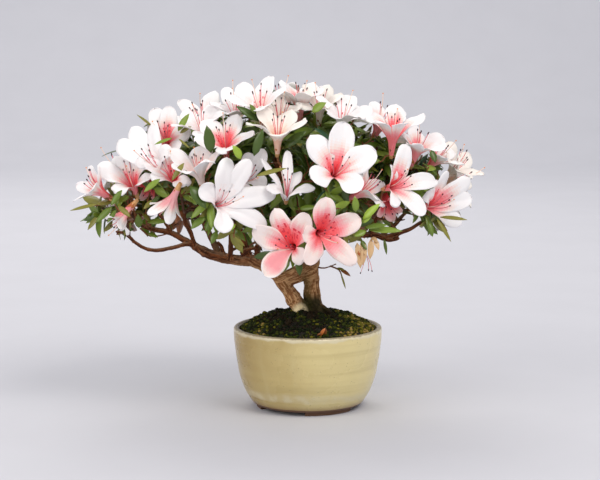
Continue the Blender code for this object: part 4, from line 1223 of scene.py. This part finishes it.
def add_petal(bm, bloom, even, aim, spread, blotch, key, draw):
    """Add one petal. It leaves the funnel at its even place and turns to its aim."""
    flare = bloom.flare + draw.uniform(-9, 9)
    curl = draw.uniform(4, 50)
    narrow = 1.0
    if isinstance(aim, tuple):
        narrow = aim[2] if len(aim) > 2 else 1.0
        aim, length = petal_aim(bloom, aim[:2], flare, curl)
    else:
        length = bloom.length * draw.uniform(0.92, 1.06)
    bloom.reach = max(bloom.reach, length)
    swing = half_turn(aim - even)
    rows = petal_rows(length, flare, curl)
    widest = bloom.length * bloom.width * narrow * draw.uniform(0.9, 1.1)
    cup, wave, phase = draw.uniform(-3.2, 2.2), draw.uniform(0.4, 1.3), draw.uniform(0, 6)
    twist, bow = math.radians(draw.uniform(-20, 20)), draw.uniform(-0.07, 0.07)
    count = len(rows) - 1
    blunt = BLUNTNESS[0] + BLUNTNESS[1] * bloom.width
    made = bmesh.ops.create_grid(bm, x_segments=PETAL_COLUMNS, y_segments=count, size=1.0)["verts"]
    for face in faces_of(made):
        middle = face.calc_center_median()
        place = (middle.y + 1) / 2 * count
        share = rows[int(place)][3] * (1 - place % 1) + rows[min(int(place) + 1, count)][3] * (place % 1)
        face.material_index = petal_slot(bloom, share, middle.x, blotch, key, draw)
    for vert in made:
        across = vert.co.x
        radius, height, slope, share = rows[round((vert.co.y + 1) / 2 * count)]
        share = max(share, 0.0)
        joined = radius * math.tan(spread)
        ragged = 1 + 0.08 * noise.noise(Vector((share * 5, across * 0.7, key * 3.1)))
        half = min(joined, widest * petal_outline(share, blunt) * ragged)
        hug = smoothly((half / joined - 0.6) / 0.4)
        turned = twist * smoothly(share * 1.3)
        sideways = half * across * math.cos(turned) + bow * length * share ** 2
        flat = Vector((radius, sideways, height))
        bent = Vector((radius * math.cos(spread * across), radius * math.sin(spread * across), height))
        lift = cup * across ** 2 + wave * math.sin(phase + share * 9 + across * 2) * across ** 2
        lift = (1 - hug) * (lift + half * across * math.sin(turned))
        crease = CREASE[0] * math.exp(-(across / CREASE[1]) ** 2)
        lift -= crease * smoothly(share * 3) * (1 - share ** 3)
        point = flat.lerp(bent, hug) + Vector((-math.cos(slope), 0, math.sin(slope))) * lift
        turn = Matrix.Rotation(even + swing * smoothly(share / 0.4), 3, "Z")
        vert.co = bloom.frame @ (turn @ point * MM)


def finished_sheets(name, bm, thickness, finishes, nodes=()):
    """Turn a bmesh of thin sheets into a foliage piece with a real thickness."""
    bmesh.ops.remove_doubles(bm, verts=bm.verts, dist=WELD * MM)
    piece = finished(name, bm, finishes, nodes)
    thick = piece.modifiers.new("thickness", "SOLIDIFY")
    thick.thickness = thickness * MM
    bake_modifiers(piece)
    print(name, "has", triangles(piece.data), "with its thickness")


def bloom_petals(bloom):
    """For each petal its even place, its aim and how deep its patch is."""
    count = len(bloom.tips) or PETALS
    if not bloom.tips:
        return [(bloom.turn + math.tau * i / count,) * 2 for i in range(count)]
    aims = sorted((petal_aim(bloom, tip[:2], bloom.flare, 20)[0], tip) for tip in bloom.tips)
    first = [half_turn(aim - math.tau * i / count) for i, (aim, _) in enumerate(aims)]
    offset = math.atan2(sum(map(math.sin, first)), sum(map(math.cos, first)))
    return [(offset + math.tau * i / count, tip) for i, (_, tip) in enumerate(aims)]


ALL_PINK = (264, 275)     # the tip of the one petal that is salmon all over
PINK_BLOTCH = 2.4
draw = random.Random(21)
groups = [Heap(), Heap(), Heap()]
for k, bloom in enumerate(blooms):
    petals = bloom_petals(bloom)
    for i, (even, aim) in enumerate(petals):
        rise = math.sin(even)
        blotch = 1.0 + 0.45 * max(rise, 0.0) - 0.15 * max(-rise, 0.0)
        if aim == ALL_PINK:
            blotch = PINK_BLOTCH
        add_petal(groups[k % 3].open(), bloom, even, aim, math.pi / len(petals), blotch, k + i * 0.37, draw)
for i, heap in enumerate(groups):
    nodes = MASS_NODES if i == 0 else ()
    finished_sheets("petals_%d" % i, heap.close(), PETAL_THICKNESS, petal_finishes, nodes)

# %% [markdown]
# ### Stamens and styles
#
# Each bloom has five curved pink filaments that end in dark anthers, and a longer
# pale style with an orange tip. They are thin round threads, so they are curves with
# a bevel, all in one curve object, with anthers and tips as small spheres. The wilted
# flower hangs on the right with three stamens, which stand where the photograph shows.


# %% Threads
THREAD_STEPS = 3


class Threads:
    """Many thin tapering threads in one curve."""

    def __init__(self, name, sides, finishes):
        self.curve = round_curve(name, sides)
        self.finishes = finishes
        for finish in finishes:
            self.curve.materials.append(finish.material)

    def add(self, points, radius, end_radius, number=0):
        """A thread through points, with a radius in millimetres at each end."""
        line = smooth_line(points, THREAD_STEPS)
        last = len(line) - 1
        radii = [radius + (end_radius - radius) * (i / last) for i in range(len(line))]
        add_tube(self.curve, line, radii, number)

    def mesh(self):
        """All threads as one bmesh, with their ends closed."""
        bm = taken_apart(put("threads", self.curve))
        bmesh.ops.remove_doubles(bm, verts=bm.verts, dist=WELD * MM)
        bmesh.ops.recalc_face_normals(bm, faces=bm.faces)
        return bm


def add_bead(heap, point, way, width, length, number):
    """A small long sphere, such as an anther, that points along a way."""
    bm = heap.open()
    made = bmesh.ops.create_icosphere(bm, subdivisions=1, radius=1.0 * MM)["verts"]
    bmesh.ops.scale(bm, vec=(width / 2, width / 2, length / 2), verts=made)
    bmesh.ops.rotate(bm, matrix=way.to_track_quat("Z", "Y").to_matrix(), verts=made)
    bmesh.ops.translate(bm, vec=point, verts=made)
    dye(made, number)


STAMENS = 5
RISE = 5.0                # how far the threads curve up
THREAD_FOOT = -24.0       # from the throat, along the bloom's axis
THREAD_COLOURS = {"filament": (228, 104, 118), "style": (250, 222, 206)}
WILTED_STAMENS = ((360.5, 273), (368.5, 270), (372, 271))
KNOB_COLOURS = {"anther": (58, 16, 30), "stigma": (238, 150, 84)}


def thread_points(bloom, turn, spread, reach):
    """A thread from the funnel's foot that leans to one side and curves up at its end."""
    side = Vector((math.cos(turn), math.sin(turn), 0))
    up = bloom.inverse.to_3x3() @ Vector((0, 0, 1))
    up = Vector((up.x, up.y, 0)) * RISE
    points = []
    for share, out in ((0.0, 0.0), (0.45, 0.2), (0.8, 0.65), (1.0, 1.0)):
        along = THREAD_FOOT + (reach - THREAD_FOOT) * share
        arc = up * (share ** 3 * 1.6 - share * 0.6)
        points.append(side * (0.8 + spread * out) + Vector((0, 0, along)) + arc)
    return [bloom.frame @ (point * MM) for point in points]


threads = Threads("stamens", 0, palette("", THREAD_COLOURS, 0.5, None, (500.0, 0.25, 0.4)))
knobs = Heap()
draw = random.Random(31)
for bloom in blooms:
    for i in range(STAMENS):
        turn = math.tau * (i + draw.uniform(-0.3, 0.3)) / STAMENS
        points = thread_points(bloom, turn, draw.uniform(3, 8), bloom.length * draw.uniform(0.28, 0.52))
        threads.add(points, 0.42, 0.3)
        add_bead(knobs, points[-1], points[-1] - points[-2], 1.5, 3.0, 0)
    points = thread_points(bloom, draw.uniform(0, 6), 7, bloom.length * draw.uniform(0.6, 0.85))
    threads.add(points, 0.5, 0.36, 1)
    add_bead(knobs, points[-1], points[-1] - points[-2], 1.5, 1.5, 1)
for u, v in WILTED_STAMENS:
    points = [seen(364, 250, -68), seen((u + 364) / 2 + 2, 262, -69), seen(u, v, -70)]
    threads.add(points, 0.3, 0.25)
    add_bead(knobs, points[-1], points[-1] - points[-2], 1.3, 2.4, 0)
finished("stamens_and_styles", threads.mesh(), threads.finishes)
knob_finishes = palette("", KNOB_COLOURS, 0.5, None, (500.0, 0.25, 0.4))
finished("anthers_and_stigmas", knobs.close(), knob_finishes)

# %% [markdown]
# ## Twigs
#
# Inside the crown, twigs branch by the solid model's rule: each one starts from the
# fork that costs least to leave, is thinner than what carries it, and becomes a fork
# itself. First one grows to the heart of each mass, then one to each bloom, and then
# one to each leafy shoot. Twigs that grow so never cross the crown without a reason.

# %% Twig rule
BRANCH_COST = 3.0
TWIG_SHARE = 0.82
TWIG_LIMIT = 1.9
TUBE_END = 24.0           # from a bloom's throat back to its stalk
HEART_RADIUS = 1.4        # of a twig's end, by what it leads to
STALK_RADIUS = 0.95
SHOOT_RADIUS = 0.6
BARE_RADIUS = 0.45
OLD, YOUNG = 0, 1         # the twigs' finishes
TWIG_COLOURS = {"twig_bark": (88, 52, 32), "young_shoot": (124, 76, 40)}
twig_finishes = palette("", TWIG_COLOURS, 0.8, None, (300.0, 0.3, 0.6))
for finish in twig_finishes:
    finish.bump(finish.noise(finish.place(), 900.0), 0.2)
twigs = Threads("twigs", 1, twig_finishes)


def reach_for(mass, target, end_radius, draw, number):
    """Grow a bent twig to a target from the cheapest fork, and say which way it arrives."""
    cost = BRANCH_COST * MM
    point, radius, rank = min(mass.forks, key=lambda fork: (fork[0] - target).length + fork[2] * cost)
    span = target - point
    if span.length < 1.0 * MM:
        return mass.aim
    start = max(min(radius * TWIG_SHARE, TWIG_LIMIT), end_radius)
    bow = span.orthogonal().normalized()
    bow.rotate(Matrix.Rotation(draw.uniform(0, math.tau), 3, span.normalized()))
    first = point + span * 0.35 + bow * span.length * draw.uniform(0.04, 0.15)
    second = point + span * 0.7 + bow * span.length * draw.uniform(-0.08, 0.08)
    middle = (start + end_radius) / 2
    twigs.add([point, first, second, target], start, end_radius, number)
    mass.forks += [(first, middle, rank + 1), (second, middle, rank + 1), (target, end_radius, rank + 2)]
    return (target - second).normalized()


draw = random.Random(41)
for mass in masses:
    reach_for(mass, mass.heart, HEART_RADIUS, draw, OLD)
    for bloom in sorted(mass.blooms, key=lambda b: (b.throat - mass.tip).length):
        target = bloom.throat - bloom.way * TUBE_END * MM
        bloom.stalk = reach_for(mass, target, STALK_RADIUS, draw, YOUNG)
print(sum(len(mass.forks) for mass in masses), "forks so far")

# %% [markdown]
# ### Room for leafy shoots
#
# A shoot may stand anywhere in the outer part of the dome, above the crown's ragged
# lower edge, but not in front of an open bloom, which it would hide. Near the lower
# edge the shoots thin out, so that sky shows there as it does in the photograph, and
# bare twigs cross it. Spots are drawn at random and kept if they aren't too near
# another. A few twigs that hang below the crown are placed by the photograph.

# %% Leafy shoots
SHOOT_SPACING = 11.9
SHOOT_DRAWS = 9000
SHOOT_LEVELS = (0.64, 1.04)
FOOT_FADE = 34.0          # above the crown's foot, where the shoots thin out
FOOT_SHARE = 0.05         # of the shoots that stay at the foot itself
BARE_DRAWS = 900
BARE_LEVELS = (0.3, 0.86)
BARE_REACH = 44.0         # above the crown's foot, where bare twigs cross
CROWN_FOOT = ((-240, 186), (-205, 177), (-180, 178), (-150, 183), (-110, 186), (-80, 170), (-60, 154),
              (-20, 152), (30, 158), (50, 172), (75, 190), (110, 186), (150, 182), (200, 190))
BLOOM_AREA = 70.0         # round a throat, where a leaf could cover the bloom
FRONT = -20.0             # blooms before this depth are kept uncovered


def above_foot(point):
    """How far a point is above the crown's lower edge as the camera sees it."""
    return (point.z + point.y * VIEW_SLOPE) / MM - level_at(CROWN_FOOT, point.x / MM)


def hides_bloom(point):
    """True where a leaf's point would lie in an open bloom or in front of it."""
    for bloom in blooms:
        away = point - bloom.throat
        if away.length_squared < (BLOOM_AREA * MM) ** 2:
            inside = bloom.inverse @ point
            out = math.hypot(inside.x, inside.y)
            in_petals = out < bloom.reach * 0.97 * MM and inside.z > -6 * MM
            in_funnel = out < 7 * MM and inside.z > -20 * MM
            before = bloom.throat.y < FRONT * MM and away.y < 0
            aside = math.hypot(away.x, away.z + away.y * VIEW_SLOPE)
            if in_petals or in_funnel or before and aside < bloom.length * 0.62 * MM:
                return True
    return False


def dome_spot(draw, reach):
    """A random place in the box round the dome, made larger or smaller by a factor."""
    return at(*(DOME_CENTRE[i] + draw.uniform(-reach, reach) * DOME_REACH[i] for i in range(3)))


draw = random.Random(51)
shoots = []
for _ in range(SHOOT_DRAWS):
    point = dome_spot(draw, 1.05)
    share = FOOT_SHARE + (1 - FOOT_SHARE) * smoothly(above_foot(point) / FOOT_FADE)
    if not SHOOT_LEVELS[0] < dome_level(point) < SHOOT_LEVELS[1]:
        continue
    if above_foot(point) < 0 or draw.random() > share or hides_bloom(point):
        continue
    if all((point - other).length > SHOOT_SPACING * MM for other in shoots):
        shoots.append(point)
for point in sorted(shoots, key=dome_level):
    mass = owner(point)
    stalk = reach_for(mass, point, SHOOT_RADIUS, draw, YOUNG)
    mass.sprays.append((point, stalk, (outward(point) + stalk + Vector((0, 0, 0.3))).normalized()))
bare = 0
for _ in range(BARE_DRAWS):
    point = dome_spot(draw, 0.8)
    inner = BARE_LEVELS[0] < dome_level(point) < BARE_LEVELS[1]
    if inner and 0 < above_foot(point) < BARE_REACH and not hides_bloom(point):
        reach_for(owner(point), point, BARE_RADIUS, draw, draw.choice((OLD, OLD, YOUNG)))
        bare += 1
print(bare, "bare twigs")
HANGING = (((172, 232, -28), (166, 221, -32), (155, 209, -38)),
           ((137, 226, -30), (134, 208, -36), (132, 190, -44)),
           ((140, 228, -28), (150, 236, -30), (163, 235, -30), (174, 231, -28)),
           ((147, 228, -26), (146, 210, -30), (150, 192, -40)),
           ((126, 218, -32), (128, 204, -38), (127, 188, -46)),
           ((316, 267, 5), (325, 268, -2), (336, 264, -8)),
           ((330, 266, -5), (339, 270, -10), (342, 277, -12)),
           ((440, 222, -40), (444, 226, -42), (447, 231, -44)),
           ((350, 240, -60), (357, 236, -66), (365, 238, -69)),
           ((107, 204, -44), (100, 205, -42), (94, 206, -40)))
for line in HANGING:
    twigs.add([seen(*place) for place in line], 0.9, SHOOT_RADIUS, YOUNG)
print(len(shoots), "leafy shoots")
finished("twigs", twigs.mesh(), twigs.finishes)

# %% [markdown]
# ## Leaves
#
# The leaves are small glossy ellipses, folded a little along the midrib and bent
# down towards the tip. Each starts as a grid of two columns, which is all that the
# fold needs. They stand in whorls round the end of every shoot, and a looser whorl
# sits behind each bloom.

# %% Leaf shape
LEAF_ROWS = 5
LEAF_THICKNESS = 0.3
LEAF_COLOURS = {"deep": (70, 92, 30), "green": (99, 122, 38), "mid": (126, 150, 52),
                "bright": (156, 184, 64), "teal": (54, 96, 64), "olive": (132, 128, 50),
                "bronze": (140, 84, 44), "scale": (196, 112, 52), "tan": (242, 202, 152)}
LEAF_NAMES = list(LEAF_COLOURS)


def add_leaf(bm, root, aim, over, length, width, fold, droop, colour):
    """Add one leaf to a bmesh, from its root along aim, its upper side towards over."""
    aim = aim.normalized()
    side = aim.cross(over).normalized()
    over = side.cross(aim)
    made = bmesh.ops.create_grid(bm, x_segments=2, y_segments=LEAF_ROWS, size=1.0)["verts"]
    for vert in made:
        share = (vert.co.y + 1) / 2
        across = vert.co.x
        half = length * width / 2 * max(math.sin(math.pi * share ** 0.85), 0.0) ** 0.78
        half = max(half, 0.25 * (1 - share))
        lift = abs(across) * half * fold - droop * length * share ** 2
        forward = aim * length * share * (1 - abs(droop) * share * 0.3)
        vert.co = root + (forward + side * half * across + over * lift) * MM
    dye(made, LEAF_NAMES.index(colour))
    for face in faces_of(made):
        face.normal_update()
        if face.normal.dot(over) < 0:
            face.normal_flip()


print(LEAF_ROWS * 2, "faces on each side of a leaf")

# %% [markdown]
# ### Leaves on the shoots
#
# A shoot carries five to eight leaves. They could be scattered at random, but on real
# shoots each leaf turns from the last by the golden angle, which keeps them apart and
# makes a rosette. A leaf that would cover a bloom or leave the dome is left out. Most
# leaves of a shoot share one colour, its mood. Behind each bloom there are a few
# leaves too, and four short brown scales at the foot of its funnel.

# %% Leaves of all shoots
LEAF_WHORL = (5, 8)
BLOOM_WHORL = 6
LEAF_LENGTHS = (17.0, 30.0)
LEAF_LIMIT = 1.16         # of the dome's level
TOP_HEIGHT = 270.0        # above which leaves keep closer to the dome
TOP_LIMIT = 1.07
LEAF_DROP = 12.0          # how far tips may hang below the crown's foot
INNER_LEVEL = 0.85
LOW_BAND = 22.0
MOOD_SHARE = 0.7          # of a shoot's leaves that have its own colour
LOW_MOODS = ("olive", "deep", "bronze", "green", "green")
# Shoots deep inside the dome take only the darker greens: painted shade inside the crown.
SHADED_INNER_MOODS = ("deep", "deep", "green", "green", "mid")
OUTER_MOODS = ("deep", "green", "green", "green", "mid", "mid", "mid", "bright", "bright", "teal",
               "olive", "olive")
SCALES = 4
draw = random.Random(61)
leaf_heaps = [Heap(), Heap()]


def leaf_bmesh():
    """The bmesh for the next leaf, from the two heaps in turn."""
    return min(leaf_heaps, key=lambda heap: heap.count).open()


def grow_whorl(spray, count, lean, mood, draw):
    """Leaves round a shoot's end, each left out where it has no room."""
    point, stalk, way = spray
    side = way.orthogonal().normalized()
    first = draw.uniform(0, math.tau)
    for i in range(count):
        turn = first + i * GOLDEN_ANGLE
        tilt = math.radians(draw.uniform(*lean))
        aim = way * math.cos(tilt) + (Matrix.Rotation(turn, 3, way) @ side) * math.sin(tilt)
        length = draw.uniform(*LEAF_LENGTHS) * (1.0 if i else 0.8)
        root = point - stalk * (0.6 + 0.9 * i) * MM
        tip = root + aim * length * MM
        limit = TOP_LIMIT if tip.z > TOP_HEIGHT * MM else LEAF_LIMIT
        if above_foot(tip) < -LEAF_DROP or dome_level(tip) > limit:
            continue
        if any(hides_bloom(root.lerp(tip, share)) for share in (0.3, 0.55, 0.8, 1.0)):
            continue
        colour = mood if draw.random() < MOOD_SHARE else draw.choice(("deep", "green", "mid", "olive"))
        add_leaf(leaf_bmesh(), root, aim, way + aim * 0.3, length, draw.uniform(0.28, 0.4),
                 draw.uniform(0.1, 0.45), draw.uniform(0.02, 0.22), colour)


for mass in masses:
    for spray in mass.sprays:
        moods = SHADED_INNER_MOODS if dome_level(spray[0]) < INNER_LEVEL else OUTER_MOODS
        mood = draw.choice(LOW_MOODS if above_foot(spray[0]) < LOW_BAND else moods)
        grow_whorl(spray, draw.randint(*LEAF_WHORL), (22, 88), mood, draw)
    for bloom in mass.blooms:
        foot = bloom.throat - bloom.way * (TUBE_END + 1) * MM
        mood = draw.choice(("green", "mid", "olive"))
        grow_whorl((foot, bloom.stalk, bloom.way), BLOOM_WHORL, (40, 95), mood, draw)
        side = bloom.way.orthogonal().normalized()
        for i in range(SCALES):
            ring = Matrix.Rotation(i * 1.7, 3, bloom.way) @ side
            root = foot + ring * 1.2 * MM
            add_leaf(leaf_bmesh(), root, bloom.way + ring * 0.28, ring, draw.uniform(8, 12), 0.5, -0.5,
                     draw.uniform(-0.1, 0.1), draw.choice(("scale", "scale", "bronze")))

# %% [markdown]
# ### Single leaves
#
# Some leaves stand out in the photograph: a broad dark one before the left blooms, a
# fan of bright young ones on the right, and a few that hang below the crown on thin
# twigs. They're placed singly, by where their root and tip are seen. The petals of the
# wilted flower on the right are six crumpled tan ones and a brown scale, and three
# small brown ones are the dry leaf that lies on the moss.

# %% Leaves placed one by one
SINGLE_UPPER = Vector((0.1, -0.8, 0.6))  # the way that their upper sides face
SINGLE_DROOP = 0.06
SINGLE_LEAVES = (
    ((139, 228), (138, 214), -50, 0.5, "green"), ((134, 229), (120, 230), -50, 0.4, "deep"),
    ((147, 222), (167, 221), -40, 0.3, "mid"), ((150, 221), (142, 213), -40, 0.4, "olive"),
    ((148, 233), (158, 237), -34, 0.4, "mid"), ((182, 210), (175, 224), -60, 0.42, "bronze"),
    ((176, 205), (162, 216), -62, 0.2, "mid"), ((172, 138), (154, 144), -86, 0.18, "mid"),
    ((179, 139), (190, 148), -100, 0.16, "olive"), ((184, 163), (171, 181), -106, 0.26, "olive"),
    ((259, 121), (236, 105), -74, 0.3, "deep"), ((256, 114), (250, 104), -76, 0.42, "green"),
    ((154, 200), (143, 209), -60, 0.36, "olive"), ((160, 196), (150, 205), -64, 0.36, "deep"),
    ((131, 222), (124, 236), -50, 0.3, "olive"), ((256, 176), (287, 167), -112, 0.16, "olive"),
    ((211, 153), (207, 125), -104, 0.40, "deep"), ((241, 159), (233, 145), -108, 0.5, "bright"),
    ((254, 156), (263, 128), -96, 0.3, "deep"), ((190, 186), (207, 209), -112, 0.42, "deep"),
    ((206, 216), (190, 229), -100, 0.36, "green"), ((213, 216), (205, 232), -98, 0.36, "green"),
    ((217, 231), (211, 244), -96, 0.44, "green"), ((232, 227), (246, 241), -82, 0.34, "mid"),
    ((160, 179), (143, 192), -96, 0.3, "mid"), ((122, 190), (110, 206), -80, 0.3, "green"),
    ((118, 206), (131, 217), -76, 0.34, "olive"), ((112, 207), (95, 223), -70, 0.3, "green"),
    ((116, 210), (107, 223), -70, 0.32, "green"), ((98, 204), (69, 210), -60, 0.13, "olive"),
    ((312, 112), (326, 102), -88, 0.5, "mid"), ((152, 126), (137, 114), -40, 0.14, "olive"),
    ((178, 131), (189, 113), -44, 0.3, "mid"), ((180, 133), (191, 126), -44, 0.34, "olive"),
    ((284, 148), (306, 130), -76, 0.34, "deep"),
    ((326, 163), (302, 148), -84, 0.38, "deep"), ((356, 212), (355, 196), -116, 0.42, "mid"),
    ((363, 219), (380, 203), -112, 0.32, "bright"), ((369, 230), (403, 230), -104, 0.22, "mid"),
    ((366, 231), (354, 236), -108, 0.5, "mid"), ((362, 223), (372, 214), -110, 0.4, "bright"),
    ((364, 228), (388, 224), -106, 0.24, "green"), ((290, 260), (274, 275), -100, 0.46, "green"),
    ((298, 259), (300, 276), -100, 0.42, "deep"), ((429, 222), (433, 237), -60, 0.36, "green"),
    ((437, 219), (452, 242), -56, 0.16, "olive"), ((440, 217), (468, 219), -56, 0.16, "olive"),
    ((431, 150), (436, 163), -70, 0.46, "deep"), ((384, 239), (387, 255), -30, 0.2, "green"),
    ((361, 240), (367, 250), -70, 0.4, "green"), ((341, 274), (346, 289), -14, 0.12, "olive"),
    ((337, 268), (345, 270), -12, 0.3, "olive"), ((340, 269), (351, 276), -12, 0.3, "bronze"),
    ((357, 243), (361, 269), -72, 0.3, "tan"), ((364, 243), (363, 266), -71, 0.26, "tan"),
    ((361, 242), (366, 256), -70, 0.4, "tan"), ((356, 245), (360, 256), -71, 0.4, "scale"),
    ((371, 239), (370, 260), -68, 0.3, "tan"), ((374, 239), (379, 250), -67, 0.4, "tan"),
    ((371, 238), (378, 242), -66, 0.5, "tan"),
    ((320, 336), (325, 328), -64, 0.3, "scale"), ((325, 335), (326, 329), -63, 0.3, "bronze"),
    ((317, 335), (321, 333), -63, 0.3, "bronze"),
)
for (root_u, root_v), (tip_u, tip_v), depth, width, colour in SINGLE_LEAVES:
    root, tip = seen(root_u, root_v, depth), seen(tip_u, tip_v, depth - 5)
    fold = 0.8 if colour == "tan" else 0.3
    aim = tip - root
    add_leaf(leaf_bmesh(), root, aim, SINGLE_UPPER, aim.length / MM, width, fold, SINGLE_DROOP, colour)
leaf_finishes = palette("leaf_", LEAF_COLOURS, 0.38, {"Specular IOR Level": 0.5}, (260.0, 0.2, 0.24))
print(sum(heap.count for heap in leaf_heaps), "leaves and scales")
for i, heap in enumerate(leaf_heaps):
    finished_sheets("leaves_%d" % i, heap.close(), LEAF_THICKNESS, leaf_finishes)
